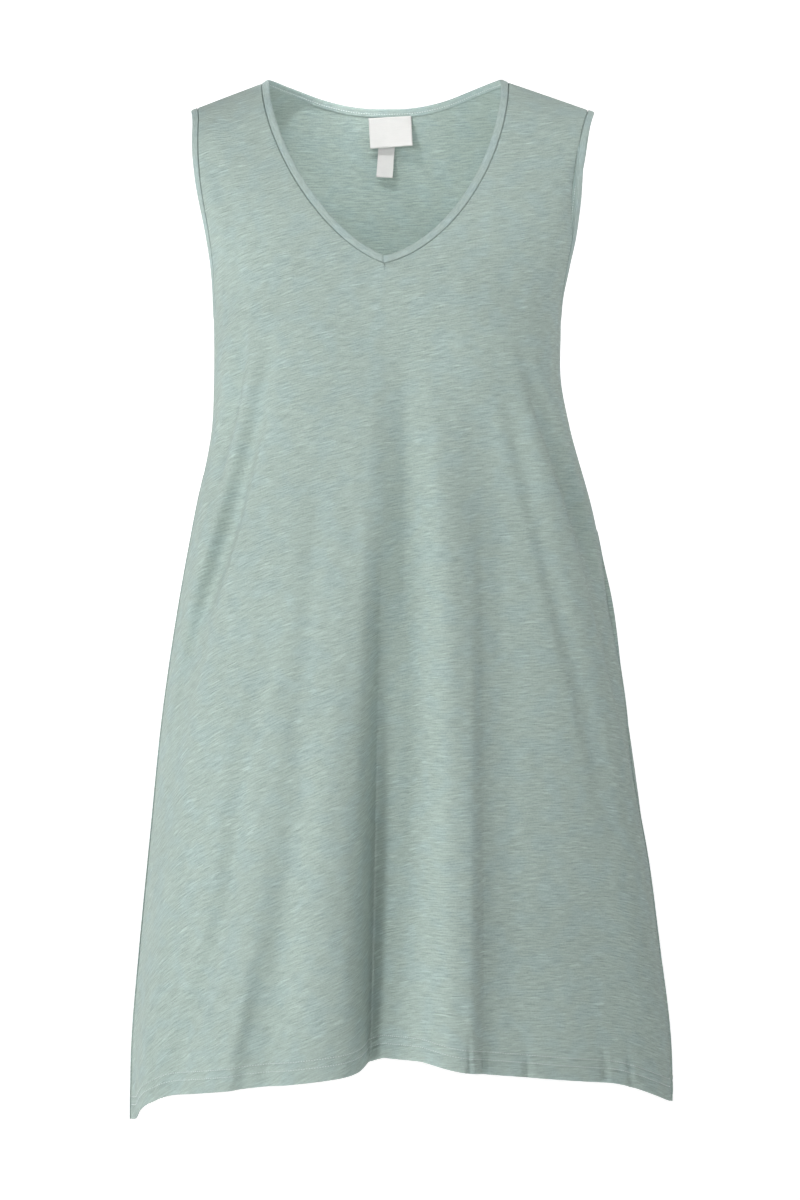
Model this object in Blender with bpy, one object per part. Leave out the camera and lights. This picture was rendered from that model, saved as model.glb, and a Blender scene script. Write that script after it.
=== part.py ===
"""Sleeveless A-line tunic top in slub jersey, hollow and filled out, with a V neck and side points.

The garment is cut as one front panel and one back panel. A folded strip binds the neck and each
armhole, and a bare woven label with a size tab hangs inside the back neck.

Metres, +Z up, front towards -Y. "Left" and "right" are those of someone facing the front.
The origin lies midway between the neck ends of the two shoulder seams, where a wearer carries it.
"""

import math

import bmesh
import bpy
import numpy as np

# ---------------------------------------------------------------- cloth and seams
CLOTH = 0.0012              # thickness of a panel
HEM_CLOTH = 0.0022          # thickness where the hem is turned up
HEM_TURN = 0.020            # height of the turned-up hem
HEM_STEP = 0.0006           # how quickly the turned-up hem gets thicker
SEAM_GAP = 0.0003           # clearance between two pieces at a seam
BINDING_GAP = 0.0004        # clearance between a panel's edge and its binding
BINDING_CLOTH = 0.0020      # thickness of a folded binding
BINDING_PROUD = 0.0003      # how far a binding stands above the panel
NECK_BINDING = 0.0072       # finished width at the neck
ARMHOLE_BINDING = 0.0063    # finished width at the armholes

# ---------------------------------------------------------------- shoulders, neck and armholes
# Neck end and sleeve end of each shoulder seam, as x and z. The seams lie in the plane y = 0.
SHOULDER_NECK = {"left": (-0.1156, -0.0038), "right": (0.1120, -0.0028)}
SHOULDER_TIP = {"left": (-0.1750, -0.0262), "right": (0.1855, -0.0280)}
SHOULDER_ROUND = 0.042      # how far below the seam the shoulder takes to round over
V_POINT = (-0.0020, -0.1800)    # x and z of the point of the V, on the panel's edge
V_CURVE = {"left": 1.60, "right": 1.82}     # 1 gives a straight side to the V, 2 gives an ellipse
V_OVERSHOOT = 0.012         # how far past the centre each side of the V would curve back up
BACK_NECK_DROP = 0.0255     # depth of the back neck below the origin, at its centre
BACK_NECK_FLAT = 1.40       # above 1, the back neck is flatter across the middle
UNDERARM = -0.2250          # z of the lowest point of the armholes
ARMHOLE_MIDDLE = -0.1260    # z at which the armholes are widest
ARMHOLE_FRONT = 0.052       # how far each armhole reaches in front of y = 0
ARMHOLE_BACK = 0.050        # and behind it
ARMHOLE_NARROWING = 0.40    # share by which the armhole narrows again towards the shoulder
SIDE_SEAM_FORWARD = 0.030   # how far the side seams have swung forward at the hem

# ---------------------------------------------------------------- hem
HEM_CENTRE = {"front": -0.8880, "back": -0.9020}
HEM_TIP = {"left": -0.9565, "right": -0.9400}
# The front hem drops evenly by "fall" from the centre to each side seam, and drops further, down to
# the point, between two shares of the way out.
FRONT_HEM = {
    "left": {"fall": 0.0460, "steep_from": 0.71, "steep_to": 0.89},
    "right": {"fall": 0.0345, "steep_from": 0.70, "steep_to": 1.00},
}

# ---------------------------------------------------------------- sections through the garment
# One row for each height: half-breadth to the left and right, depth in front and behind, and how
# square the section is (2 is an ellipse). Above the underarm a section runs on past the armhole.
SECTION_COLUMNS = ("z", "left", "right", "front", "back", "square")
SECTIONS = (
    (0.040, 0.1985, 0.2095, 0.020, 0.020, 2.20),
    (0.000, 0.1985, 0.2095, 0.044, 0.047, 2.20),
    (-0.030, 0.1985, 0.2095, 0.058, 0.060, 2.25),
    (-0.060, 0.2030, 0.2075, 0.071, 0.073, 2.30),
    (-0.090, 0.1928, 0.1962, 0.083, 0.083, 2.55),
    (-0.120, 0.1812, 0.1874, 0.093, 0.090, 2.75),
    (-0.150, 0.1722, 0.1803, 0.101, 0.096, 2.70),
    (-0.180, 0.1648, 0.1705, 0.108, 0.100, 2.60),
    (-0.210, 0.1605, 0.1618, 0.114, 0.103, 2.55),
    (-0.240, 0.1592, 0.1600, 0.118, 0.105, 2.90),
    (-0.280, 0.1590, 0.1600, 0.120, 0.106, 3.25),
    (-0.320, 0.1605, 0.1675, 0.121, 0.107, 3.25),
    (-0.400, 0.1760, 0.1895, 0.125, 0.112, 2.90),
    (-0.480, 0.1905, 0.2046, 0.131, 0.118, 2.55),
    (-0.580, 0.2055, 0.2204, 0.139, 0.127, 2.35),
    (-0.700, 0.2182, 0.2386, 0.149, 0.140, 2.20),
    (-0.800, 0.2285, 0.2522, 0.157, 0.150, 2.10),
    (-0.880, 0.2355, 0.2620, 0.163, 0.158, 2.10),
    (-0.980, 0.2380, 0.2648, 0.169, 0.166, 2.10),
)
BUST_RISE = 0.006           # how far the bust fills the front out on each side
BUST_SIDE = 0.080           # distance of its two high points from the centre
BUST_LEVEL = -0.250
BUST_BREADTH = 0.055
BUST_HEIGHT = 0.060

# ---------------------------------------------------------------- folds
# One row for each fold. "top" and "foot" are where it lies, in degrees from centre front round an
# ellipse and positive to the right. It starts, is deepest and has died away at three heights. Depth is
# inward, and below zero for a ridge. The two flanks are in degrees, and "sharp" runs from 0, soft, to 1,
# creased.
FOLD_COLUMNS = ("top", "foot", "start", "full", "end", "depth", "left_flank", "right_flank", "sharp")
FOLDS = (
    (13.0, -3.2, -0.200, -0.560, -1.500, 0.026, 13.5, 62.0, 0.00),
    (-0.5, -4.9, -0.400, -0.680, -1.400, 0.024, 4.8, 15.0, 0.50),
    (-4.2, -5.2, -0.560, -0.880, -1.400, 0.019, 8.5, 20.0, 0.00),
    (16.0, 14.0, -0.240, -0.560, -1.400, -0.018, 10.5, 11.5, 0.00),
    (26.2, 20.2, -0.300, -0.620, -1.400, 0.012, 4.4, 28.0, 0.60),
    (-16.5, -29.0, -0.480, -0.900, -1.400, 0.014, 8.0, 7.0, 0.00),
    (-47.7, -77.5, -0.270, -0.430, -0.740, 0.009, 10.6, 8.9, 0.00),
    (44.5, 95.7, -0.270, -0.430, -0.800, 0.009, 9.0, 11.0, 0.00),
    (-58.5, -62.5, -0.640, -0.930, -1.400, -0.008, 12.8, 8.7, 0.00),
    (38.4, 34.2, -0.420, -0.800, -1.400, 0.011, 16.6, 32.6, 0.00),
    (117.4, 108.2, -0.420, -0.880, -1.400, 0.014, 12.2, 13.6, 0.20),
    (138.6, 137.1, -0.360, -0.900, -1.400, 0.020, 11.4, 9.6, 0.30),
    (165.4, 167.9, -0.320, -0.900, -1.400, 0.032, 12.9, 13.0, 0.50),
    (206.7, 203.1, -0.400, -0.900, -1.400, 0.022, 11.0, 12.6, 0.30),
    (227.8, 230.9, -0.380, -0.900, -1.400, 0.024, 11.4, 10.6, 0.40),
    (247.8, 254.7, -0.460, -0.900, -1.400, 0.012, 9.9, 11.4, 0.20),
)

# ---------------------------------------------------------------- labels
LABEL_SIZE = (0.0400, 0.0260)
LABEL_CLOTH = 0.0010
LABEL_CENTRE = 0.0026       # x of the label's middle
LABEL_BELOW = 0.0008        # distance of the label's top below the back neckline
LABEL_CLEAR = (0.0010, 0.0045)      # gap to the back panel at the label's top and bottom
TAB_SIZE = (0.0152, 0.0330)
TAB_CENTRE = -0.0012
TAB_CLEAR = (0.0010, 0.0050)
TAB_BELOW = 0.0185          # distance of the tab's top below the back neckline
LABEL_CELLS = (6, 5)        # across and down, on both

# ---------------------------------------------------------------- fineness of the solids
HALF_FRONT_CELLS = 23
BACK_SHOULDER_CELLS = 9
BACK_NECK_CELLS = 24
SHOULDER_TURNS = (0.0, 24.0, 46.0, 68.0, 90.0)     # degrees of the round-over
YOKE_ROWS = 8               # from the round-over down to the level of the V
UNDERARM_ROWS = 4
SKIRT_ROWS = 20
SKIRT_GRADING = 1.35        # above 1, the rows are closer together near the underarm
DENSE = 321                 # samples on a row before it is divided evenly
SHARP_ANGLE = 50.0          # edges that turn by more degrees than this stay crisp

SIDES = ("left", "right")

# Colour and roughness of each cloth.
JERSEY = ((0.345, 0.425, 0.400), 0.90)
FOLDED_JERSEY = ((0.335, 0.415, 0.392), 0.85)
WOVEN_LABEL = ((0.860, 0.860, 0.850), 0.60)


# ================================================================ the garment's surface
def column(table, names, name):
    return np.array([row[names.index(name)] for row in table])


def section(name, z):
    """One column of SECTIONS at height z, on a smooth curve through the rows."""
    heights = column(SECTIONS, SECTION_COLUMNS, "z")[::-1]
    values = column(SECTIONS, SECTION_COLUMNS, name)[::-1]
    slopes = np.gradient(values, heights)
    z = np.clip(z, heights[0], heights[-1])
    row = np.clip(np.searchsorted(heights, z) - 1, 0, len(heights) - 2)
    span = heights[row + 1] - heights[row]
    t = (z - heights[row]) / span
    return (
        values[row] * (1 + 2 * t) * (1 - t) ** 2
        + values[row + 1] * t * t * (3 - 2 * t)
        + span * slopes[row] * t * (1 - t) ** 2
        + span * slopes[row + 1] * t * t * (t - 1)
    )


def ease(t):
    """0 to 1 with level ends."""
    t = np.clip(t, 0.0, 1.0)
    return t * t * (3 - 2 * t)


def half_breadth(x, z):
    return np.where(x < 0, section("left", z), section("right", z))


def depth(x, z, face):
    """How far the front or back stands from the plane y = 0 on the section's own axis."""
    if face == "back":
        return section("back", z)
    lobes = np.exp(-(((np.abs(x) - BUST_SIDE) / BUST_BREADTH) ** 2))
    return section("front", z) + BUST_RISE * lobes * np.exp(-(((z - BUST_LEVEL) / BUST_HEIGHT) ** 2))


def shoulder_line(x):
    """Height of the shoulder seam at x, carried on past the neck."""
    height = []
    for side in SIDES:
        tip, neck = SHOULDER_TIP[side], SHOULDER_NECK[side]
        height.append(tip[1] + (x - tip[0]) * (neck[1] - tip[1]) / (neck[0] - tip[0]))
    return np.where(x < 0, *height)


def round_over(x, z):
    """0 on the shoulder seam and 1 from SHOULDER_ROUND below it, along a quarter circle."""
    t = np.clip((shoulder_line(x) - z) / SHOULDER_ROUND, 0.0, 1.0)
    return np.sqrt(1 - (1 - t) ** 2)


def yoke_point(x, z, face):
    """The surface over x and z, above the level of the V."""
    square = section("square", z)
    share = np.clip(np.abs(x) / half_breadth(x, z), 0.0, 1.0)
    y = depth(x, z, face) * (1 - share**square) ** (1 / square) * round_over(x, z)
    y = np.maximum(y, SEAM_GAP / 2)
    return np.stack([x, -y if face == "front" else y, z], axis=-1)


def ellipse_turn(turn, z):
    """The turn at which the same point would lie if the section were an ellipse."""
    around = np.radians((turn + 180.0) % 360.0 - 180.0)
    power = 2 / section("square", z)
    across = np.sign(np.sin(around)) * np.abs(np.sin(around)) ** power
    ahead = np.sign(np.cos(around)) * np.abs(np.cos(around)) ** power
    return np.degrees(np.arctan2(across, ahead))


def fold_depth(turn, z):
    """Inward depth of all the folds together, at a turn round the ellipse."""
    total = np.zeros(np.broadcast(turn, z).shape)
    for row in FOLDS:
        fold = dict(zip(FOLD_COLUMNS, row))
        grown = ease((fold["start"] - z) / (fold["start"] - fold["full"]))
        grown = grown * (1 - ease((fold["full"] - z) / (fold["full"] - fold["end"])))
        foot = max(fold["end"], HEM_TIP["left"])
        down = np.clip((fold["start"] - z) / (fold["start"] - foot), 0.0, 1.0)
        away = (turn - fold["top"] - down * (fold["foot"] - fold["top"]) + 180.0) % 360.0 - 180.0
        share = np.where(away < 0, -away / fold["left_flank"], away / fold["right_flank"])
        share = np.clip(share, 0.0, 1.0)
        total = total + fold["depth"] * grown * (1 - share) ** 2 * (1 + 2 * share * (1 - fold["sharp"]))
    return total


def ring_point(turn, z):
    """The surface at a turn from centre front and a height, below the level of the V."""
    angle = np.radians(turn)
    power = 2 / section("square", z)
    breadth = np.where(np.sin(angle) < 0, section("left", z), section("right", z))
    x = breadth * np.sign(np.sin(angle)) * np.abs(np.sin(angle)) ** power
    deep = np.where(np.cos(angle) > 0, depth(x, z, "front"), depth(x, z, "back"))
    y = -deep * np.sign(np.cos(angle)) * np.abs(np.cos(angle)) ** power
    square = 2 / power
    outward_x = np.sign(x) * (np.abs(x) / breadth) ** (square - 1) / breadth
    outward_y = np.sign(y) * (np.abs(y) / deep) ** (square - 1) / deep
    inward = fold_depth(ellipse_turn(turn, z), z) / np.hypot(outward_x, outward_y)
    return np.stack([x - inward * outward_x, y - inward * outward_y, z + 0 * x], axis=-1)


# ================================================================ the cut: edges of the panels
def armhole_depth(z, face):
    """How far the armhole's edge stands before or behind y = 0, without the shoulder's rounding."""
    reach = ARMHOLE_FRONT if face == "front" else ARMHOLE_BACK
    lower = (ARMHOLE_MIDDLE - z) / (ARMHOLE_MIDDLE - UNDERARM)
    upper = (z - ARMHOLE_MIDDLE) / (SHOULDER_TIP["left"][1] - ARMHOLE_MIDDLE)
    closing = np.sqrt(np.clip(1 - lower**2, 0.0, 1.0))
    return reach * np.where(z < ARMHOLE_MIDDLE, closing, 1 - ARMHOLE_NARROWING * upper**2)


def seam_depth(z, side):
    """How far the side seam stands in front of y = 0: it swings forward towards the hem."""
    return SIDE_SEAM_FORWARD * np.clip((UNDERARM - z) / (UNDERARM - HEM_TIP[side]), 0.0, 1.0)


def edge_forward(z, side, face):
    """How far a panel's side edge, armhole and then side seam, stands in front of y = 0."""
    sign = 1 if face == "front" else -1
    armhole = sign * np.maximum(armhole_depth(z, face), SEAM_GAP / 2)
    seam = seam_depth(z, side) + sign * SEAM_GAP / 2
    return np.where(z > UNDERARM, armhole, seam)


def edge_turn(z, side, face):
    """The turn from centre front, in degrees, at which a panel's side edge lies at height z."""
    forward = edge_forward(z, side, face)
    deep = np.where(forward > 0, section("front", z), section("back", z))
    cosine = np.sign(forward) * (np.abs(forward) / deep) ** (section("square", z) / 2)
    turn = np.degrees(np.arccos(cosine))
    return -turn if side == "left" else turn


def centre_turn(z):
    """The turn at which the column from the point of the V lies at height z."""
    share = abs(V_POINT[0]) / section("left", z)
    return -math.degrees(math.asin(share ** (section("square", z) / 2)))


def armhole_x(z, side, face):
    """x of the armhole's edge at height z."""
    square = section("square", z)
    deep = section("front", z) if face == "front" else section("back", z)
    edge = section(side, z) * (1 - (armhole_depth(z, face) / deep) ** square) ** (1 / square)
    return -edge if side == "left" else edge


def lengths_along(points):
    steps = np.linalg.norm(np.diff(points, axis=0), axis=1)
    return np.concatenate([[0.0], np.cumsum(steps)])


def at_lengths(points, lengths):
    """Points at the given distances along a dense line."""
    total = lengths_along(points)
    return np.stack([np.interp(lengths, total, axis) for axis in points.T], axis=-1)


def rows_from_shoulder(length):
    """Distances down a panel's edge from the shoulder seam: round the shoulder, then in even steps."""
    turned = SHOULDER_ROUND * (1 - np.cos(np.radians(SHOULDER_TURNS)))
    even = np.linspace(SHOULDER_ROUND, length, YOKE_ROWS + 1)
    return np.concatenate([turned, even[1:]])


def armhole_line(side, face):
    """x and z of the armhole's edge from the shoulder tip down to the level of the V."""
    z = np.linspace(SHOULDER_TIP[side][1], V_POINT[1], DENSE)
    x = armhole_x(z, side, face)
    x += (SHOULDER_TIP[side][0] - x[0]) * (1 - ease((z[0] - z) / SHOULDER_ROUND))
    line = np.stack([x, z], axis=-1)
    return at_lengths(line, rows_from_shoulder(lengths_along(line)[-1]))


def v_neck_line(side):
    """x and z of the front neckline from the shoulder seam to the point of the V."""
    top = np.array(SHOULDER_NECK[side])
    inward = 1 if side == "left" else -1
    reach = abs(V_POINT[0] - top[0]) + V_OVERSHOOT
    angle = np.linspace(0.0, math.pi / 2, 4 * DENSE)
    across = 1 - np.cos(angle) ** (2 / V_CURVE[side])
    down = np.sin(angle) ** (2 / V_CURVE[side])
    kept = reach * across <= abs(V_POINT[0] - top[0])
    across, down = across[kept], down[kept]
    x = top[0] + inward * abs(V_POINT[0] - top[0]) * across / across[-1]
    z = top[1] + (V_POINT[1] - top[1]) * down / down[-1]
    line = np.stack([x, z], axis=-1)
    return at_lengths(line, rows_from_shoulder(lengths_along(line)[-1]))


def back_neck_line():
    """x and z of the back neckline, from the right shoulder seam to the left."""
    right, left = np.array(SHOULDER_NECK["right"]), np.array(SHOULDER_NECK["left"])
    x = np.linspace(right[0], left[0], DENSE)
    rise = np.where(x > 0, right[1] + BACK_NECK_DROP, left[1] + BACK_NECK_DROP)
    z = -BACK_NECK_DROP + rise * ease((x / np.where(x > 0, right[0], left[0])) ** BACK_NECK_FLAT)
    line = np.stack([x, z], axis=-1)
    return at_lengths(line, np.linspace(0.0, lengths_along(line)[-1], BACK_NECK_CELLS + 1))


def even_row(start, end, face, cells):
    """A row of the yoke: straight between two points of x and z, divided evenly along the cloth."""
    share = np.linspace(0.0, 1.0, DENSE)[:, None]
    flat = np.asarray(start) * (1 - share) + np.asarray(end) * share
    dense = yoke_point(flat[:, 0], flat[:, 1], face)
    return at_lengths(dense, np.linspace(0.0, lengths_along(dense)[-1], cells + 1))


def even_turns(start, end, z, cells):
    """Turns that divide the section at height z evenly along the cloth."""
    turns = np.linspace(start, end, DENSE)
    total = lengths_along(ring_point(turns, np.full(DENSE, z)))
    return np.interp(np.linspace(0.0, total[-1], cells + 1), total, turns)


def front_hem(out, side):
    """Height of the front hem at a share of the way out to the side seam."""
    cut = FRONT_HEM[side]
    steep = ease((out - cut["steep_from"]) / (cut["steep_to"] - cut["steep_from"]))
    even = HEM_CENTRE["front"] - cut["fall"] * out
    return even + (HEM_TIP[side] - HEM_CENTRE["front"] + cut["fall"]) * steep


def hem_heights(face, cells):
    """Height of the hem at each column, left to right on the front and right to left on the back."""
    out = np.linspace(-1.0, 1.0, cells + 1)
    if face == "front":
        return np.where(out < 0, front_hem(-out, "left"), front_hem(out, "right"))
    tip = np.where(out > 0, HEM_TIP["left"], HEM_TIP["right"])
    return HEM_CENTRE["back"] + (tip - HEM_CENTRE["back"]) * out**2


def body_levels(face, cells):
    """Height of each body row at each column: level down to the underarm, then easing into the hem."""
    drop = ARMHOLE_MIDDLE - UNDERARM
    lowest = math.acos((ARMHOLE_MIDDLE - V_POINT[1]) / drop)
    turned = np.linspace(lowest, 0.0, UNDERARM_ROWS + 1)
    level = [np.full(cells + 1, ARMHOLE_MIDDLE - drop * math.cos(t)) for t in turned]
    hem = hem_heights(face, cells)
    stops = [hem + HEM_TURN + HEM_STEP, hem + HEM_TURN, hem]
    for row in range(1, SKIRT_ROWS + 1):
        level.append(UNDERARM + (stops[0] - UNDERARM) * (row / SKIRT_ROWS) ** SKIRT_GRADING)
    return np.array(level + stops[1:])


def front_grids():
    """Points of the left yoke, the right yoke and the body of the front, rows from the top down."""
    cells = HALF_FRONT_CELLS
    neck = {side: v_neck_line(side) for side in SIDES}
    armhole = {side: armhole_line(side, "front") for side in SIDES}
    left = [even_row(a, n, "front", cells) for a, n in zip(armhole["left"], neck["left"])]
    right = [even_row(n, a, "front", cells) for a, n in zip(armhole["right"], neck["right"])]
    body = []
    for level in body_levels("front", 2 * cells):
        middle = level.mean()
        centre = centre_turn(middle)
        turns = np.concatenate([
            even_turns(edge_turn(middle, "left", "front"), centre, middle, cells),
            even_turns(centre, edge_turn(middle, "right", "front"), middle, cells)[1:],
        ])
        turns[0] = edge_turn(level[0], "left", "front")
        turns[-1] = edge_turn(level[-1], "right", "front")
        body.append(ring_point(turns, level))
    left[-1], right[-1] = body[0][: cells + 1], body[0][cells:]
    return np.array(left), np.array(right), np.array(body)


def back_grids():
    """Points of the yoke and the body of the back, columns from the right edge round to the left."""
    cells = 2 * BACK_SHOULDER_CELLS + BACK_NECK_CELLS
    body = []
    for level in body_levels("back", cells):
        middle = level.mean()
        start, end = edge_turn(middle, "right", "back"), 360 + edge_turn(middle, "left", "back")
        turns = even_turns(start, end, middle, cells)
        turns[0] = edge_turn(level[0], "right", "back")
        turns[-1] = 360 + edge_turn(level[-1], "left", "back")
        body.append(ring_point(turns, level))
    body = np.array(body)
    neck = back_neck_line()
    foot = body[0][BACK_SHOULDER_CELLS : BACK_SHOULDER_CELLS + BACK_NECK_CELLS + 1][:, [0, 2]]
    armhole = {side: armhole_line(side, "back") for side in SIDES}
    yoke = []
    for row, down in enumerate(rows_from_shoulder(-V_POINT[1]) / -V_POINT[1]):
        middle = neck + (foot - neck) * down
        yoke.append(np.concatenate([
            even_row(armhole["right"][row], middle[0], "back", BACK_SHOULDER_CELLS),
            yoke_point(middle[:, 0], middle[:, 1], "back")[1:-1],
            even_row(middle[-1], armhole["left"][row], "back", BACK_SHOULDER_CELLS),
        ]))
    yoke[-1] = body[0]
    return np.array(yoke), body


# ================================================================ closed solids from the surface
class Panel:
    """A sheet of quads that is given a thickness. Grids that share a row share its points."""

    def __init__(self):
        self.points = []
        self.quads = []
        self.square_cut = set()     # points on a seam, where the wall is cut square to y
        self.thick = set()          # points on the turned-up hem

    def add_grid(self, grid, known=None):
        """Adds the grid's points and quads. known numbers the points that are there already."""
        known = known or {}
        number = np.zeros(grid.shape[:2], int)
        for row in range(grid.shape[0]):
            for place in range(grid.shape[1]):
                if (row, place) in known:
                    number[row, place] = known[row, place]
                    continue
                number[row, place] = len(self.points)
                self.points.append(grid[row, place])
        for row in range(grid.shape[0] - 1):
            for place in range(grid.shape[1] - 1):
                self.quads.append((
                    number[row, place], number[row + 1, place],
                    number[row + 1, place + 1], number[row, place + 1],
                ))
        return number

    def normals(self):
        points, quads = np.array(self.points), np.array(self.quads)
        corners = points[quads]
        face = np.cross(corners[:, 2] - corners[:, 0], corners[:, 3] - corners[:, 1])
        normal = np.zeros_like(points)
        for corner in range(4):
            np.add.at(normal, quads[:, corner], face)
        normal[sorted(self.square_cut), 1] = 0.0
        return normal / np.linalg.norm(normal, axis=1)[:, None]

    def solid(self, name, thickness, thick):
        points = np.array(self.points)
        wall = np.full(len(points), thickness)
        wall[sorted(self.thick)] = thick
        inner = points - self.normals() * wall[:, None]
        count = len(points)
        faces = [tuple(quad) for quad in self.quads]
        edges = {(quad[i], quad[(i + 1) % 4]) for quad in faces for i in range(4)}
        rim = [(b, a, a + count, b + count) for a, b in edges if (b, a) not in edges]
        inside = [tuple(point + count for point in reversed(quad)) for quad in faces]
        return make_object(name, np.concatenate([points, inner]), faces + inside + sorted(rim))


def make_object(name, points, faces):
    mesh = bpy.data.meshes.new(name)
    mesh.from_pydata([tuple(float(value) for value in point) for point in points], [],
                     [tuple(int(point) for point in face) for face in faces])
    shape = bmesh.new()
    shape.from_mesh(mesh)
    bmesh.ops.recalc_face_normals(shape, faces=shape.faces)
    shape.to_mesh(mesh)
    shape.free()
    mesh.shade_smooth()
    mesh.set_sharp_from_angle(angle=math.radians(SHARP_ANGLE))
    made = bpy.data.objects.new(name, mesh)
    bpy.context.scene.collection.objects.link(made)
    return made


def front_panel():
    left, right, body = front_grids()
    panel = Panel()
    cells = HALF_FRONT_CELLS
    main = panel.add_grid(body)
    last = len(left) - 1
    columns = range(cells + 1)
    left_yoke = panel.add_grid(left, {(last, place): main[0, place] for place in columns})
    right_yoke = panel.add_grid(right, {(last, place): main[0, cells + place] for place in columns})
    below = UNDERARM_ROWS
    side_seams = set(main[below:, 0]) | set(main[below:, -1])
    panel.square_cut = set(left_yoke[0]) | set(right_yoke[0]) | side_seams
    panel.thick = set(main[-2:].ravel())
    return panel.solid("front_panel", CLOTH, HEM_CLOTH), left, right, body


def back_panel():
    yoke, body = back_grids()
    panel = Panel()
    main = panel.add_grid(body)
    last = len(yoke) - 1
    top = panel.add_grid(yoke, {(last, place): main[0, place] for place in range(body.shape[1])})
    shoulders = set(top[0][: BACK_SHOULDER_CELLS + 1]) | set(top[0][-BACK_SHOULDER_CELLS - 1 :])
    panel.square_cut = shoulders | set(main[UNDERARM_ROWS:, 0]) | set(main[UNDERARM_ROWS:, -1])
    panel.thick = set(main[-2:].ravel())
    return panel.solid("back_panel", CLOTH, HEM_CLOTH), yoke, body


# ================================================================ bindings
def unit(vectors):
    return vectors / np.linalg.norm(vectors, axis=-1, keepdims=True)


def binding_profile(width):
    """Corners of a folded strip's section: distance from the panel's edge and height above it."""
    top, bottom, soft = BINDING_PROUD, BINDING_PROUD - BINDING_CLOTH, BINDING_CLOTH / 3
    start = BINDING_GAP
    end = start + width
    return np.array([
        (start, bottom), (start, top - soft / 2), (start + soft, top), (end - soft, top),
        (end, top - soft), (end, bottom + soft), (end - soft, bottom),
    ])


def binding(name, edge, inside, width, closed):
    """A folded strip along a panel's edge. inside holds the panel's next point in from each.

    The edge runs clockwise round its opening, seen from outside the garment.
    """
    if closed:
        along = unit(np.roll(edge, -1, axis=0) - np.roll(edge, 1, axis=0))
    else:
        along = unit(np.gradient(edge, axis=0))
    across = edge - inside
    across = unit(across - along * np.sum(across * along, axis=1)[:, None])
    up = np.cross(along, across)
    if not closed:
        # The two ends meet on a mitre in the plane of the V, SEAM_GAP apart.
        edge = edge.copy()
        for end, beside in ((0, 1), (-1, -2)):
            across[end] -= along[end] * across[end][0] / along[end][0]
            edge[end, 0] += SEAM_GAP / 2 * np.sign(edge[beside, 0] - edge[end, 0])
    profile = binding_profile(width)
    rings = edge[:, None] + across[:, None] * profile[None, :, :1] + up[:, None] * profile[None, :, 1:]
    count, corners = rings.shape[:2]
    faces = []
    for ring in range(count if closed else count - 1):
        after = (ring + 1) % count
        for corner in range(corners):
            beside = (corner + 1) % corners
            faces.append((
                ring * corners + corner, ring * corners + beside,
                after * corners + beside, after * corners + corner,
            ))
    if not closed:
        faces.append(tuple(range(corners)))
        faces.append(tuple((count - 1) * corners + corner for corner in range(corners)))
    return make_object(name, rings.reshape(-1, 3), faces)


def neck_binding(left, right, yoke):
    """From the V up the right, round the back neck and down the left to the V."""
    neck = slice(BACK_SHOULDER_CELLS, BACK_SHOULDER_CELLS + BACK_NECK_CELLS + 1)
    back, under = yoke[0][neck], yoke[1][neck]
    edge = np.concatenate([right[::-1, 0], back[1:-1], left[:, -1]])
    inside = np.concatenate([right[::-1, 1], under[1:-1], left[:, -2]])
    return binding("neck_binding", edge, inside, NECK_BINDING, closed=False)


def armhole_binding(side, yoke_front, body_front, yoke_back, body_back):
    """From the underarm up the front and down the back on the left, and the other way on the right."""
    low = UNDERARM_ROWS + 1
    cells = yoke_front.shape[1]
    beside = body_front[:low, :cells] if side == "left" else body_front[:low, -cells:]
    front = np.concatenate([yoke_front[:-1], beside])[::-1]
    back = np.concatenate([yoke_back[:-1], body_back[:low]])[1:-1]
    outer, inner = (0, 1) if side == "left" else (-1, -2)
    edge = np.concatenate([front[:, outer], back[:, -1 - outer]])
    inside = np.concatenate([front[:, inner], back[:, -1 - inner]])
    # At the underarm the cloth lies below the edge, not beside it.
    inside[0] = body_front[low, outer]
    if side == "right":
        edge, inside = edge[::-1], inside[::-1]
    return binding("armhole_binding_" + side, edge, inside, ARMHOLE_BINDING, closed=True)


# ================================================================ labels
def hanging_label(name, size, centre, below, clear):
    """A small woven rectangle that hangs in front of the back panel's inner face."""
    across = np.linspace(size[0] / 2, -size[0] / 2, LABEL_CELLS[0] + 1) + centre
    down = np.linspace(0.0, 1.0, LABEL_CELLS[1] + 1)
    x, share = np.meshgrid(across, down)
    z = -BACK_NECK_DROP - below - share * size[1]
    stand = CLOTH + clear[0] + (clear[1] - clear[0]) * share
    points = yoke_point(x, z, "back") - np.stack([0 * x, stand, 0 * x], axis=-1)
    label = Panel()
    label.add_grid(points)
    return label.solid(name, LABEL_CLOTH, LABEL_CLOTH)


def neck_label():
    return hanging_label("neck_label", LABEL_SIZE, LABEL_CENTRE, LABEL_BELOW, LABEL_CLEAR)


def size_tab():
    """The tab starts behind the label's lower edge and hangs on below it."""
    return hanging_label("size_tab", TAB_SIZE, TAB_CENTRE, TAB_BELOW, TAB_CLEAR)


# ================================================================ materials
def finish(shape, garment, cloth):
    """Hangs a piece on the garment's own empty and gives it a material."""
    shape.parent = garment
    colour, roughness = cloth
    material = bpy.data.materials.new(shape.name)
    material.use_nodes = True
    shader = material.node_tree.nodes["Principled BSDF"]
    shader.inputs["Base Color"].default_value = (*colour, 1.0)
    shader.inputs["Roughness"].default_value = roughness
    shader.inputs["Metallic"].default_value = 0.0
    shape.data.materials.append(material)


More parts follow.
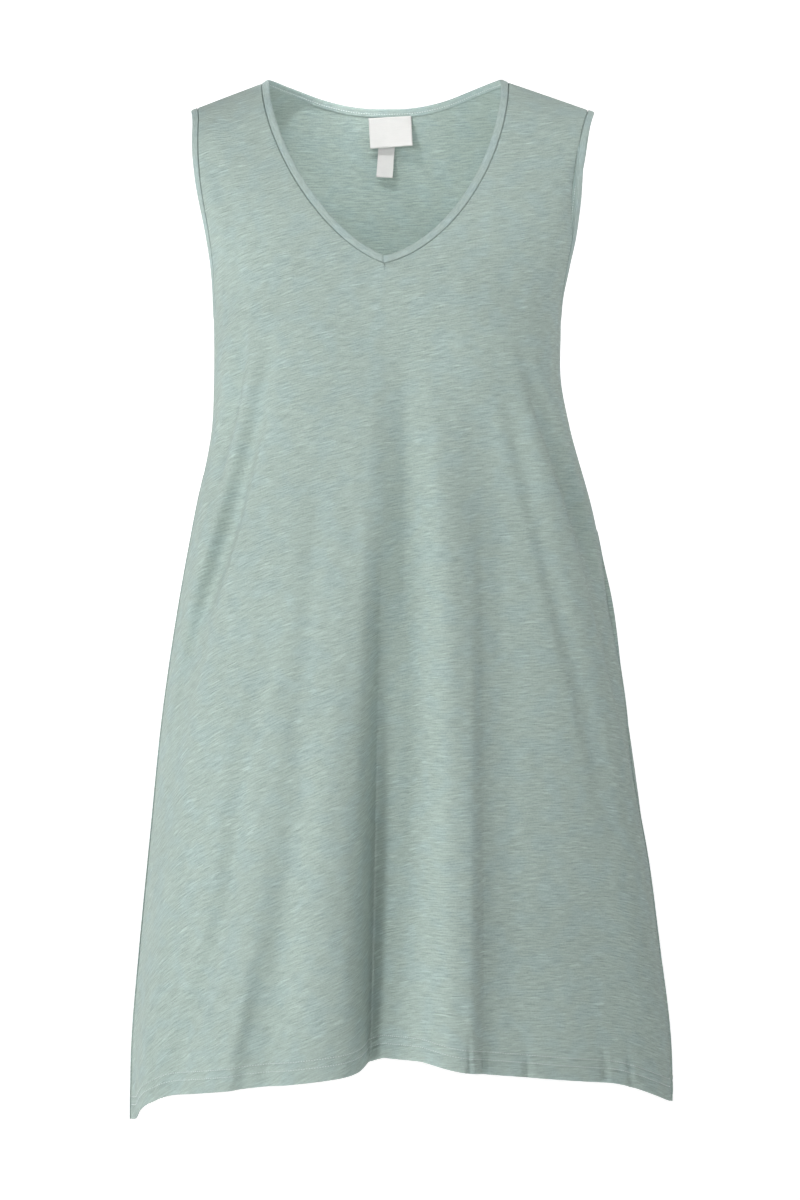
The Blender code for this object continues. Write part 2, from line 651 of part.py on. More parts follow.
def main():
    for old in list(bpy.data.objects):
        bpy.data.objects.remove(old)
    garment = bpy.data.objects.new("tunic_top", None)
    bpy.context.scene.collection.objects.link(garment)
    front, left, right, body_front = front_panel()
    back, yoke_back, body_back = back_panel()
    finish(front, garment, JERSEY)
    finish(back, garment, JERSEY)
    finish(neck_binding(left, right, yoke_back), garment, FOLDED_JERSEY)
    for side, yoke in (("left", left), ("right", right)):
        strip = armhole_binding(side, yoke, body_front, yoke_back, body_back)
        finish(strip, garment, FOLDED_JERSEY)
    finish(neck_label(), garment, WOVEN_LABEL)
    finish(size_tab(), garment, WOVEN_LABEL)


main()
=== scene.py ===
"""Looks of the tunic top: fine cloth with its creases, bindings, stitching, labels and their finishes.

Metres, +Z up, front towards -Y. "Left" and "right" are those of someone facing the front.
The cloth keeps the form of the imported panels: it is worked out from the same cut, with more points.
"""

import math

import bpy
import numpy as np
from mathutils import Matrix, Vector


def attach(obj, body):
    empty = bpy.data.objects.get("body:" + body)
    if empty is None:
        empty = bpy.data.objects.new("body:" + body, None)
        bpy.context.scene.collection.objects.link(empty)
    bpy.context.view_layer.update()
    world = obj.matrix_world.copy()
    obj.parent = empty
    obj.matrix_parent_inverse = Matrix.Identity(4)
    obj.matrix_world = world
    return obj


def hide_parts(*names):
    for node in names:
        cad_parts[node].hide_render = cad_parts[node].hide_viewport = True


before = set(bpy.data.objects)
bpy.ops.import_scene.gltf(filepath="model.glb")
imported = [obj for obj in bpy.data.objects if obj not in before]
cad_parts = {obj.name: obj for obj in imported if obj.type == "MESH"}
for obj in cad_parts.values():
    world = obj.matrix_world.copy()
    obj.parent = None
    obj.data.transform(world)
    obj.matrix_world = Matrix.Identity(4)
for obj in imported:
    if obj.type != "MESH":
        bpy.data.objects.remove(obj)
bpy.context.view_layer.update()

# ---- cloth and seams
CLOTH = 0.0012              # thickness of a panel
HEM_CLOTH = 0.0022          # thickness of the turned-up hem
HEM_TURN = 0.020            # height of the turned-up hem
SEAM_GAP = 0.0003           # clearance between two pieces at a seam
BINDING_GAP = 0.0004        # clearance between a panel's edge and its binding
NECK_BINDING = 0.0067       # finished width at the neck
ARMHOLE_BINDING = 0.0063    # finished width at the armholes

# ---- shoulders, neck and armholes
# Neck end and sleeve end of each shoulder seam, as x and z. The seams lie in the plane y = 0.
SHOULDER_NECK = {"left": (-0.1156, -0.0038), "right": (0.1120, -0.0028)}
SHOULDER_TIP = {"left": (-0.1750, -0.0262), "right": (0.1855, -0.0280)}
SHOULDER_ROUND = 0.042      # how far below the seam the shoulder takes to round over
V_POINT = (-0.0020, -0.1800)
V_CURVE = {"left": 1.60, "right": 1.82}     # 1 gives a straight side to the V, 2 gives an ellipse
V_OVERSHOOT = 0.012         # how far past the centre each side of the V would curve back up
BACK_NECK_DROP = 0.0255     # depth of the back neck below the origin, at its centre
BACK_NECK_FLAT = 1.40       # above 1, the back neck is flatter across the middle
UNDERARM = -0.2250          # z of the lowest point of the armholes
ARMHOLE_MIDDLE = -0.1260    # z at which the armholes are widest
ARMHOLE_FRONT = 0.052       # how far each armhole reaches in front of y = 0
ARMHOLE_BACK = 0.050        # and behind it
ARMHOLE_NARROWING = 0.40    # share by which the armhole narrows again towards the shoulder
SIDE_SEAM_FORWARD = 0.030   # how far the side seams have swung forward at the hem

# ---- hem
HEM_CENTRE = {"front": -0.8880, "back": -0.9020}
HEM_TIP = {"left": -0.9565, "right": -0.9400}
# The front hem is level from the centre to one share of the way out to the side seam, steps down there
# by "step" until "step_to", drops evenly by the rest of "fall" as far as the seam, and drops further,
# down to the point, between two other shares.
FRONT_HEM = {
    "left": {"level_to": 0.00, "step": 0.0060, "step_to": 0.13, "fall": 0.0480,
             "steep_from": 0.72, "steep_to": 0.96},
    "right": {"level_to": 0.12, "step": 0.0036, "step_to": 0.27, "fall": 0.0370,
              "steep_from": 0.70, "steep_to": 1.00},
}

# ---- sections through the garment
# One row for each height: half-breadth to the left and right, depth in front and behind, and how
# square the section is (2 is an ellipse). Above the underarm a section runs on past the armhole.
SECTION_COLUMNS = ("z", "left", "right", "front", "back", "square")
SECTIONS = (
    (0.040, 0.1985, 0.2095, 0.020, 0.020, 2.20),
    (0.000, 0.1985, 0.2095, 0.044, 0.047, 2.20),
    (-0.030, 0.1985, 0.2095, 0.058, 0.060, 2.25),
    (-0.060, 0.2030, 0.2075, 0.071, 0.073, 2.30),
    (-0.090, 0.1928, 0.1962, 0.083, 0.083, 2.55),
    (-0.120, 0.1812, 0.1874, 0.093, 0.090, 2.75),
    (-0.150, 0.1722, 0.1803, 0.101, 0.096, 2.70),
    (-0.180, 0.1648, 0.1705, 0.108, 0.100, 2.60),
    (-0.210, 0.1605, 0.1618, 0.114, 0.103, 2.55),
    (-0.240, 0.1592, 0.1600, 0.118, 0.105, 2.90),
    (-0.280, 0.1590, 0.1600, 0.120, 0.106, 3.25),
    (-0.320, 0.1605, 0.1675, 0.121, 0.107, 3.25),
    (-0.400, 0.1760, 0.1895, 0.125, 0.112, 2.90),
    (-0.480, 0.1905, 0.2046, 0.131, 0.118, 2.55),
    (-0.580, 0.2055, 0.2204, 0.139, 0.127, 2.35),
    (-0.700, 0.2182, 0.2386, 0.149, 0.140, 2.20),
    (-0.800, 0.2285, 0.2522, 0.157, 0.150, 2.10),
    (-0.880, 0.2355, 0.2620, 0.163, 0.158, 2.10),
    (-0.980, 0.2380, 0.2648, 0.169, 0.166, 2.10),
)
BUST_RISE = 0.006           # how far the bust fills the front out on each side
BUST_SIDE = 0.080           # distance of its two high points from the centre
BUST_LEVEL = -0.250
BUST_BREADTH = 0.055
BUST_HEIGHT = 0.060

# ---- folds
# One row for each fold. "top" and "foot" are where it lies, in degrees from centre front round an
# ellipse and positive to the right. It starts, is deepest and has died away at three heights. Depth is
# inward, and below zero for a ridge. The two flanks are in degrees, and "sharp" runs from 0, soft, to 1,
# creased.
FOLD_COLUMNS = ("top", "foot", "start", "full", "end", "depth", "left_flank", "right_flank", "sharp")
FOLDS = (
    (8.8, 0.0, -0.200, -0.480, -0.920, 0.020, 13.0, 40.0, 0.00),
    (-1.4, -4.2, -0.400, -0.740, -1.500, 0.022, 13.0, 50.0, 0.70),
    (-1.4, -4.2, -0.400, -0.700, -1.400, 0.018, 4.6, 12.0, 0.85),
    (-3.0, -4.5, -0.540, -0.850, -1.400, 0.016, 6.5, 15.0, 0.60),
    (14.4, 12.6, -0.240, -0.460, -1.400, -0.0285, 9.6, 17.0, 0.00),
    (25.4, 18.6, -0.320, -0.850, -1.400, 0.0130, 3.8, 28.0, 0.60),
    (-16.5, -29.0, -0.480, -0.900, -1.400, 0.014, 8.0, 7.0, 0.00),
    (-39.5, -70.0, -0.270, -0.430, -0.740, 0.009, 10.6, 8.9, 0.00),
    (44.5, 95.7, -0.270, -0.430, -0.800, 0.009, 9.0, 11.0, 0.00),
    (-58.5, -62.5, -0.640, -0.930, -1.400, -0.008, 12.8, 8.7, 0.00),
    (46.0, 46.0, -0.420, -0.800, -1.400, 0.012, 26.0, 27.0, 0.00),
    (117.4, 108.2, -0.420, -0.880, -1.400, 0.014, 12.2, 13.6, 0.20),
    (138.6, 137.1, -0.360, -0.900, -1.400, 0.020, 11.4, 9.6, 0.30),
    (165.4, 167.9, -0.320, -0.900, -1.400, 0.032, 12.9, 13.0, 0.50),
    (206.7, 203.1, -0.400, -0.900, -1.400, 0.022, 11.0, 12.6, 0.30),
    (227.8, 230.9, -0.380, -0.900, -1.400, 0.024, 11.4, 10.6, 0.40),
    (247.8, 254.7, -0.460, -0.900, -1.400, 0.012, 9.9, 11.4, 0.20),
)
FOLD_FOOT = -0.9565         # height at which a fold has reached its "foot", unless it ends above
# Where the cloth left of the deep valley leans over it: how far sideways, in metres, and over how many
# degrees before and after its own line.
LEAN = {"top": -7.0, "foot": -8.0, "start": -0.560, "full": -0.880, "reach": 0.0015,
        "before": 9.0, "after": 4.5}

# ---- creases
# Small troughs down the front: how far each dies away to its left and right, and its path from the top
# down, through points of x, z and depth. Metres throughout.
FRONT_CREASES = (
    # Left: soft drags from the armhole down over the bust.
    ((0.012, 0.016), (
        (-0.168, -0.062, 0.0), (-0.158, -0.090, 0.0018), (-0.143, -0.130, 0.0018), (-0.137, -0.165, 0.0))),
    ((0.012, 0.012), (
        (-0.131, -0.090, 0.0), (-0.124, -0.125, 0.0010), (-0.117, -0.165, 0.0))),
    # Right: the dip beside the armhole.
    ((0.022, 0.012), (
        (0.180, -0.060, 0.0), (0.180, -0.105, 0.0070), (0.172, -0.155, 0.0))),
    # Puckers where the hem is sewn, and the turned edge beside the left point.
    ((0.004, 0.003), (
        (0.073, -0.862, 0.0), (0.074, -0.888, 0.0036), (0.0745, -0.930, 0.0030))),
    ((0.003, 0.004), (
        (0.087, -0.868, 0.0), (0.0865, -0.890, 0.0030), (0.086, -0.930, 0.0022))),
    ((0.004, 0.004), (
        (0.124, -0.872, 0.0), (0.1255, -0.893, 0.0034), (0.127, -0.930, 0.0020))),
    ((0.004, 0.003), (
        (0.194, -0.876, 0.0), (0.196, -0.898, 0.0036), (0.198, -0.940, 0.0022))),
    ((0.003, 0.004), (
        (0.217, -0.882, 0.0), (0.219, -0.902, 0.0028), (0.221, -0.940, 0.0016))),
    ((0.005, 0.004), (
        (-0.2110, -0.845, 0.0), (-0.2108, -0.885, 0.0022), (-0.2100, -0.915, 0.0032),
        (-0.2090, -0.960, 0.0030))),
    # Left: the drag line from the bust to the side seam.
    ((0.011, 0.016), (
        (-0.102, -0.230, 0.0), (-0.110, -0.275, 0.0055), (-0.127, -0.350, 0.0085), (-0.148, -0.425, 0.0095),
        (-0.174, -0.500, 0.0095), (-0.187, -0.550, 0.0050), (-0.197, -0.600, 0.0))),
    # Left: a softer one outside it.
    ((0.012, 0.009), (
        (-0.128, -0.225, 0.0), (-0.134, -0.275, 0.0075), (-0.149, -0.350, 0.0060), (-0.163, -0.410, 0.0))),
    # Left of the middle: a faint line down from the bust.
    ((0.016, 0.014), (
        (-0.062, -0.360, 0.0), (-0.064, -0.425, 0.0020), (-0.070, -0.500, 0.0022), (-0.076, -0.574, 0.0020),
        (-0.080, -0.680, 0.0))),
    # Left: a shallow hollow down the skirt.
    ((0.014, 0.016), (
        (-0.100, -0.480, 0.0), (-0.118, -0.574, 0.0030), (-0.133, -0.650, 0.0040), (-0.139, -0.720, 0.0060),
        (-0.157, -0.795, 0.0062), (-0.181, -0.870, 0.0060), (-0.196, -0.940, 0.0040))),
    # Left: another beside it, near the hem.
    ((0.014, 0.015), (
        (-0.106, -0.790, 0.0), (-0.120, -0.860, 0.0036), (-0.134, -0.940, 0.0034))),
    # Right: two drag lines.
    ((0.010, 0.012), (
        (0.118, -0.245, 0.0), (0.130, -0.285, 0.0040), (0.154, -0.350, 0.0075), (0.180, -0.425, 0.0075),
        (0.201, -0.490, 0.0030), (0.212, -0.540, 0.0))),
    ((0.014, 0.016), (
        (0.098, -0.260, 0.0), (0.120, -0.350, 0.0044), (0.139, -0.425, 0.0040), (0.157, -0.500, 0.0036),
        (0.178, -0.575, 0.0030), (0.205, -0.720, 0.0))),
)

# ---- edges of the panels
# What happens at the first points in from an edge: how far the outer face is drawn in, and the wall.
BOUND_EDGE = {"dip": (0.0006, 0.0002, 0.0, 0.0), "wall": (0.0006, 0.0010, 0.0012, 0.0012)}
SEAM_EDGE = {"dip": (0.0007, 0.0003, 0.0001, 0.0), "wall": (0.0005, 0.0009, 0.0011, 0.0012)}
HEM_EDGE = {"dip": (0.0008, 0.0005, 0.0002, 0.0), "wall": (0.0006, 0.0013, 0.0019, 0.0022)}

# ---- hem stitching
STITCH_ROWS = (0.0130, 0.0200)      # heights of the twin-needle rows above the hem's edge
STITCH_SINK = 0.00080               # how far a row of stitches draws the cloth in
STITCH_FLANK = 0.0019               # and over what height
STITCH_PITCH = 0.0024
STITCH_LENGTH = 0.0017
STITCH_THICK = 0.00085
# Section through a stitch's length: share of its length, share of its thickness, and rise in metres.
STITCH_RINGS = ((-0.50, 0.40, -0.00018), (-0.36, 0.85, 0.00004), (0.0, 1.0, 0.00016),
                (0.36, 0.85, 0.00004), (0.50, 0.40, -0.00018))
STITCH_SIDES = 6
# Small slanting ripples that the two rows pull into the hem. They are this high at their middle, lie this
# far apart, and slant by one ripple over "slant". "wander" is how unevenly: by how much, and how often.
ROPING = {"height": 0.00022, "pitch": 0.0125, "slant": 0.040, "middle": 0.014, "reach": 0.014,
          "wander": ((2.0, 0.041), (1.3, 0.0173))}

# ---- folded bindings
# Section of a folded strip: share of its width from the panel's edge, and height above the panel's
# outer face. It starts under the panel's edge, goes round the seam and the fold, and back inside.
STRIP_SECTION = (
    (-0.18, -0.00150), (-0.02, -0.00150), (0.02, -0.00110), (0.01, -0.00050), (0.03, -0.00005),
    (0.08, 0.00022), (0.18, 0.00034), (0.34, 0.00030), (0.52, 0.00034), (0.72, 0.00030), (0.88, 0.00008),
    (0.97, -0.00030), (1.00, -0.00070), (0.98, -0.00110), (0.90, -0.00150), (0.70, -0.00170),
    (0.40, -0.00172), (0.15, -0.00190), (-0.05, -0.00205), (-0.18, -0.00185),
)
# Just behind each shoulder seam the neck binding stands up a little: how far behind, over what length
# and by how much, as a slope.
NECK_STAND = {"behind": 0.012, "length": 0.024, "left": 0.50, "right": 0.25}
NECK_LAP = {"length": 0.012, "lift": 0.0005, "past": 0.0008}    # the right end lies over the left at the V
SEWN_AT = 0.30              # where the inside row of stitches runs, as a share of the strip's width
SEWN_HEIGHT = -0.00176      # and its height, on the strip's inner face

# ---- seam allowances inside
# Section of the pressed allowance along a seam, as reach towards the back panel and height above the
# panel's outer face. Its free edge is thicker, where it is overlocked.
ALLOWANCE_SECTION = (
    (0.0015, -0.00135), (-0.0010, -0.00135), (-0.0040, -0.00160), (-0.0062, -0.00195), (-0.0072, -0.00205),
    (-0.0078, -0.00245), (-0.0072, -0.00300), (-0.0062, -0.00295), (-0.0040, -0.00230),
    (-0.0010, -0.00200), (0.0015, -0.00195),
)
ALLOWANCE_SHORT = 2         # rows that an allowance stops short of a binding

# ---- labels
# Sizes are across and down. "centre" is the x of the top's middle, "below" its distance under the back
# neck, and a turn is in degrees. "clear" is how far the top and the foot stand off the cloth, and "curl"
# how much further the right edge stands off than the left at the foot.
LABEL = {"size": (0.0402, 0.0277), "centre": 0.0024, "below": 0.0010, "clear": (0.0012, 0.0075),
         "turn": -3.2, "curl": 0.0060}
TAB = {"size": (0.0155, 0.0340), "centre": -0.0002, "below": 0.0220, "clear": (0.0012, 0.0060),
       "turn": 4.2, "curl": 0.0025}
LABEL_CLOTH = 0.0005
LABEL_BEND = 1.5            # 1 is straight, and above 1 a label bends outward towards its foot
LABEL_CELLS = (30, 22)

# ---- fineness of the cloth
HALF_FRONT_CELLS = 116
BACK_SHOULDER_CELLS = 34
BACK_NECK_CELLS = 84
EDGE_STEPS = (0.0006, 0.0014, 0.0026, 0.0045)      # distances of the first points from an edge
# Degrees round the shoulder, from its seam down, at which the first rows lie.
SHOULDER_TURNS = (0.0, 0.7, 1.6, 3.0, 5.3, 9.0, 14.0, 20.0,
                  27.0, 34.0, 42.0, 50.0, 60.0, 70.0, 80.0, 90.0)
YOKE_ROWS = 38
UNDERARM_ROWS = 11
SKIRT_ROWS = 125
# Heights of the last rows above the hem's edge.
HEM_ROWS = (
    0.0280, 0.0245, 0.0222, 0.0210, 0.0200, 0.0190, 0.0175, 0.0155, 0.0140, 0.0130, 0.0120, 0.0105,
    0.0080, 0.0052, 0.0028, 0.0012, 0.0004, 0.0,
)
DENSE = 641                 # samples on a row before it is divided
SLANT_STEP = 0.001          # height over which a crease's slant is measured
# Points lie closer together round these turns, by this much, over this many degrees. That sets in below
# the underarm, over this height.
CLOSER = ((-5.0, 1.8, 5.0), (18.0, 0.8, 5.0))
CLOSER_FROM = 0.1

# ---- finishes
# Colours are linear red, green and blue. Noises are in waves per metre of cloth.
JERSEY = (0.345, 0.425, 0.390)
BINDING_JERSEY = (0.345, 0.425, 0.400)
COOLER = (0.975, 0.998, 1.03, 1.0)  # what the dye is multiplied by where it has taken cooler
THREAD = (0.66, 0.73, 0.71)
# THREAD_SHADE is painted shade, in the grooves between the thread's plies.
THREAD_SHADE = (0.50, 0.57, 0.56)
THREAD_TURN = 0.0006        # distance between the plies of the thread
THREAD_SLANT = 1.4
LABEL_WHITE = (0.61, 0.60, 0.59)
LABEL_WEFT = 0.00042        # distance between threads, down the label and across it
LABEL_WARP = 0.00030
YARN_WAVES = (90.0, 1400.0)
SOFT_WAVES = 120.0
LABEL_CROSSING = 0.35       # how much the warp breaks up the weft
# The weave's tone is painted shade: darker where the threads dip, lighter where they rise.
LABEL_TONE = {"middle": 0.965, "weave": 0.010, "yarn": 0.07, "soft": 0.05}
LABEL_RISE = {"yarn": 0.8, "weave": 0.4}
PAPER = 0.93
PAPER_GRAIN = 0.01
PAPER_GLOW = 0.43           # stands in for the lamps that a studio keeps for the backdrop alone

LOOP = {"width": 0.0008, "height": 0.00065, "slant": 1.1}   # a knitted loop
WANDER = {"waves": 26.0, "reach": 0.0025}                   # how the streaks wander up and down
STREAK_ROUGHNESS = 0.65
# Slubs, the thick parts of the yarn, come from the streaks' pattern, stretched along and across.
SLUBS = {"stretch": (0.70, 0.62), "offset": (31.0, 7.0), "from": 0.58, "to": 0.74}
JERSEY_ROUGHNESS = 0.92
SLUB_SMOOTHING = -0.10
GRAIN_WAVES = 640.0
PATCH_WAVES = 11.0
TINT = {"waves": 47.0, "from": 0.40, "to": 0.70}
# How much each lightens or darkens the cloth, as a share of its colour, and how much it raises the cloth,
# as a share of the relief. The grain's tone is a share of the streaks'.
# The loops' tone is painted shade: darker in the hollows between their legs and lighter on their tops.
KNIT_TONE = {"grain": 0.30, "streaks": 0.80, "slubs": 0.16, "patches": 0.10, "loops": 0.018}
KNIT_RISE = {"streaks": 0.9, "slubs": 0.8, "loops": 0.12}
JERSEY_RELIEF = 0.00045
BINDING_RELIEF = 0.00030
THREAD_RELIEF = 0.00008
LABEL_RELIEF = 0.00006

# ---- camera, light and stage
VIEW_DISTANCE = 3.2
VIEW_HEIGHT = 1.11          # what the frame's long side takes in at the garment's middle plane
VIEW_CENTRE = (0.012, -0.481)

# Soft round lights: degrees to the right of the camera, degrees up, distance, breadth and power in watts.
LIGHTS = {
    "front": {"turn": -4, "height": 6, "distance": 3.7, "breadth": 1.6, "power": 34.0},
    "left": {"turn": -72, "height": 12, "distance": 3.0, "breadth": 1.2, "power": 29.5},
    "key": {"turn": -42, "height": 13, "distance": 3.7, "breadth": 0.9, "power": 50.0},
    "right": {"turn": 62, "height": 52, "distance": 1.3, "breadth": 0.8, "power": 6.6},
}
LIGHT_AIM = Vector((0.0, 0.0, -0.45))
# Two small lamps brighten the inside of the back, which shows through the neck: one low inside the
# garment, and one above and in front of the neck, with a beam of so many degrees.
INSIDE_LIGHTS = {
    "below": {"place": (0.0, -0.025, -0.56), "aim": (0.0, 0.085, -0.07), "breadth": 0.10,
              "power": 0.90},
    "above": {"place": (-0.11, -0.15, 0.15), "aim": (-0.02, 0.09, -0.062), "breadth": 0.02,
              "power": 0.050, "beam": 44},
}
SKY = 0.09                  # strength of the light from all round, which itself looks white

FLOOR_HEIGHT = -1.30
BACKDROP = {"distance": 2.4, "radius": 0.9, "top": 3.2, "front": -6.0, "half_width": 7.0,
            "steps": 16}

SIDES = ("left", "right")


# ==== the garment's surface
def smooth_curve(heights, values, z):
    """Values at height z on a smooth curve through rows that are listed from the top down."""
    heights, values = np.asarray(heights)[::-1], np.asarray(values)[::-1]
    slopes = np.gradient(values, heights)
    z = np.clip(z, heights[0], heights[-1])
    row = np.clip(np.searchsorted(heights, z) - 1, 0, len(heights) - 2)
    span = heights[row + 1] - heights[row]
    t = (z - heights[row]) / span
    return (
        values[row] * (1 + 2 * t) * (1 - t) ** 2
        + values[row + 1] * t * t * (3 - 2 * t)
        + span * slopes[row] * t * (1 - t) ** 2
        + span * slopes[row + 1] * t * t * (t - 1)
    )


def section(name, z):
    """One column of SECTIONS at height z."""
    table = dict(zip(SECTION_COLUMNS, np.array(SECTIONS).T))
    return smooth_curve(table["z"], table[name], z)


def share_of_way(value, start, end):
    """0 at start and 1 at end, and going on beyond them."""
    return (value - start) / (end - start)


def ease(t):
    """0 to 1 with level ends."""
    t = np.clip(t, 0.0, 1.0)
    return t * t * (3 - 2 * t)


def bell(away, before, after):
    """1 at 0, with level ends at -before and +after."""
    share = np.clip(np.where(away < 0, -away / before, away / after), 0.0, 1.0)
    return (1 - share) ** 2 * (1 + 2 * share)


def signed_power(value, power):
    return np.sign(value) * np.abs(value) ** power


def half_breadth(x, z):
    return np.where(x < 0, section("left", z), section("right", z))


def depth(x, z, face):
    """How far the front or back stands from the plane y = 0 on the section's own axis."""
    if face == "back":
        return section("back", z)
    lobes = np.exp(-(((np.abs(x) - BUST_SIDE) / BUST_BREADTH) ** 2))
    return section("front", z) + BUST_RISE * lobes * np.exp(-(((z - BUST_LEVEL) / BUST_HEIGHT) ** 2))


def shoulder_line(x):
    """Height of the shoulder seam at x, carried on past the neck."""
    height = []
    for side in SIDES:
        tip, neck = SHOULDER_TIP[side], SHOULDER_NECK[side]
        height.append(tip[1] + (x - tip[0]) * (neck[1] - tip[1]) / (neck[0] - tip[0]))
    return np.where(x < 0, *height)


def round_over(x, z):
    """0 on the shoulder seam and 1 from SHOULDER_ROUND below it, along a quarter circle."""
    t = np.clip((shoulder_line(x) - z) / SHOULDER_ROUND, 0.0, 1.0)
    return np.sqrt(1 - (1 - t) ** 2)


def yoke_point(x, z, face):
    """The surface over x and z, above the level of the V."""
    square = section("square", z)
    share = np.clip(np.abs(x) / half_breadth(x, z), 0.0, 1.0)
    y = depth(x, z, face) * (1 - share**square) ** (1 / square) * round_over(x, z)
    y = np.maximum(y, SEAM_GAP / 2)
    return np.stack([x, -y if face == "front" else y, z], axis=-1)


def ellipse_turn(turn, z):
    """The turn at which the same point would lie if the section were an ellipse."""
    around = np.radians((turn + 180.0) % 360.0 - 180.0)
    power = 2 / section("square", z)
    across, ahead = (signed_power(way, power) for way in (np.sin(around), np.cos(around)))
    return np.degrees(np.arctan2(across, ahead))


def fold_depth(turn, z):
    """Inward depth of all the folds together, at a turn round the ellipse."""
    total = np.zeros(np.broadcast(turn, z).shape)
    for row in FOLDS:
        fold = dict(zip(FOLD_COLUMNS, row))
        grown = ease(share_of_way(z, fold["start"], fold["full"]))
        grown = grown * (1 - ease(share_of_way(z, fold["full"], fold["end"])))
        down = np.clip(share_of_way(z, fold["start"], max(fold["end"], FOLD_FOOT)), 0.0, 1.0)
        away = (turn - fold["top"] - down * (fold["foot"] - fold["top"]) + 180.0) % 360.0 - 180.0
        share = np.where(away < 0, -away / fold["left_flank"], away / fold["right_flank"])
        share = np.clip(share, 0.0, 1.0)
        total = total + fold["depth"] * grown * (1 - share) ** 2 * (1 + 2 * share * (1 - fold["sharp"]))
    return total


def lean_over(turn, z):
    """How far the cloth is pushed sideways, over the deep valley."""
    grown = ease(share_of_way(z, LEAN["start"], LEAN["full"]))
    down = np.clip(share_of_way(z, LEAN["start"], FOLD_FOOT), 0.0, 1.0)
    away = turn - LEAN["top"] - down * (LEAN["foot"] - LEAN["top"])
    return LEAN["reach"] * grown * bell(away, LEAN["before"], LEAN["after"])


def ring_point(turn, z):
    """The surface at a turn from centre front and a height, below the level of the V."""
    sine, cosine = np.sin(np.radians(turn)), np.cos(np.radians(turn))
    square = section("square", z)
    breadth = np.where(sine < 0, section("left", z), section("right", z))
    x = breadth * signed_power(sine, 2 / square)
    deep = np.where(cosine > 0, depth(x, z, "front"), depth(x, z, "back"))
    y = -deep * signed_power(cosine, 2 / square)
    outward_x = signed_power(x / breadth, square - 1) / breadth
    outward_y = signed_power(y / deep, square - 1) / deep
    even_turn = ellipse_turn(turn, z)
    inward = fold_depth(even_turn, z) / np.hypot(outward_x, outward_y)
    sideways = np.where(cosine > 0, lean_over(even_turn, z), 0.0)
    return np.stack([x - inward * outward_x + sideways, y - inward * outward_y, z + 0 * x], axis=-1)


# ==== the cut: edges of the panels
def armhole_depth(z, face):
    """How far the armhole's edge stands before or behind y = 0, without the shoulder's rounding."""
    reach = ARMHOLE_FRONT if face == "front" else ARMHOLE_BACK
    lower = share_of_way(z, ARMHOLE_MIDDLE, UNDERARM)
    upper = share_of_way(z, ARMHOLE_MIDDLE, SHOULDER_TIP["left"][1])
    closing = np.sqrt(np.clip(1 - lower**2, 0.0, 1.0))
    return reach * np.where(z < ARMHOLE_MIDDLE, closing, 1 - ARMHOLE_NARROWING * upper**2)


def edge_forward(z, side, face):
    """How far a panel's side edge, armhole and then side seam, stands in front of y = 0."""
    sign = 1 if face == "front" else -1
    armhole = sign * np.maximum(armhole_depth(z, face), SEAM_GAP / 2)
    swung = SIDE_SEAM_FORWARD * np.clip(share_of_way(z, UNDERARM, HEM_TIP[side]), 0.0, 1.0)
    return np.where(z > UNDERARM, armhole, swung + sign * SEAM_GAP / 2)


def edge_turn(z, side, face):
    """The turn from centre front, in degrees, at which a panel's side edge lies at height z."""
    forward = edge_forward(z, side, face)
    deep = np.where(forward > 0, section("front", z), section("back", z))
    turn = np.degrees(np.arccos(signed_power(forward / deep, section("square", z) / 2)))
    return -turn if side == "left" else turn


def armhole_x(z, side, face):
    """x of the armhole's edge at height z."""
    square = section("square", z)
    deep = section("front", z) if face == "front" else section("back", z)
    edge = section(side, z) * (1 - (armhole_depth(z, face) / deep) ** square) ** (1 / square)
    return -edge if side == "left" else edge


def lengths_along(points):
    steps = np.linalg.norm(np.diff(points, axis=0), axis=1)
    return np.concatenate([[0.0], np.cumsum(steps)])


def at_lengths(points, lengths):
    """Points at the given distances along a dense line."""
    total = lengths_along(points)
    return np.stack([np.interp(lengths, total, axis) for axis in points.T], axis=-1)


def edged_steps(length, cells, crowd=None):
    """Distances from 0 to length: close together at both ends, and even, or as crowd says, between."""
    near = np.array(EDGE_STEPS)
    inner = np.linspace(near[-1], length - near[-1], cells - 2 * len(near) + 1)
    if crowd is not None:
        where, weight = crowd
        spent = np.concatenate([[0.0], np.cumsum(np.diff(where) * (weight[1:] + weight[:-1]) / 2)])
        low, high = np.interp([inner[0], inner[-1]], where, spent)
        inner = np.interp(np.linspace(low, high, len(inner)), spent, where)
    return np.concatenate([[0.0], near[:-1], inner, length - near[-2::-1], [length]])


def rows_from_shoulder(length):
    """Distances down a panel's edge from the shoulder seam: round the shoulder, then in even steps."""
    turned = SHOULDER_ROUND * (1 - np.cos(np.radians(SHOULDER_TURNS)))
    even = np.linspace(SHOULDER_ROUND, length, YOKE_ROWS + 1)
    return np.concatenate([turned, even[1:]])


def down_from_shoulder(x, z):
    """A line from a shoulder seam down to the level of the V, divided into the yoke's rows."""
    line = np.stack([x, z], axis=-1)
    return at_lengths(line, rows_from_shoulder(lengths_along(line)[-1]))


def armhole_line(side, face):
    """x and z of the armhole's edge from the shoulder tip down to the level of the V."""
    z = np.linspace(SHOULDER_TIP[side][1], V_POINT[1], DENSE)
    x = armhole_x(z, side, face)
    x += (SHOULDER_TIP[side][0] - x[0]) * (1 - ease((z[0] - z) / SHOULDER_ROUND))
    return down_from_shoulder(x, z)


def v_neck_line(side):
    """x and z of the front neckline from the shoulder seam to the point of the V."""
    top_x, top_z = SHOULDER_NECK[side]
    inward = V_POINT[0] - top_x
    angle = np.linspace(0.0, math.pi / 2, 4 * DENSE)
    across = 1 - np.cos(angle) ** (2 / V_CURVE[side])
    down = np.sin(angle) ** (2 / V_CURVE[side])
    kept = (abs(inward) + V_OVERSHOOT) * across <= abs(inward)
    across, down = across[kept], down[kept]
    x = top_x + inward * across / across[-1]
    return down_from_shoulder(x, top_z + (V_POINT[1] - top_z) * down / down[-1])


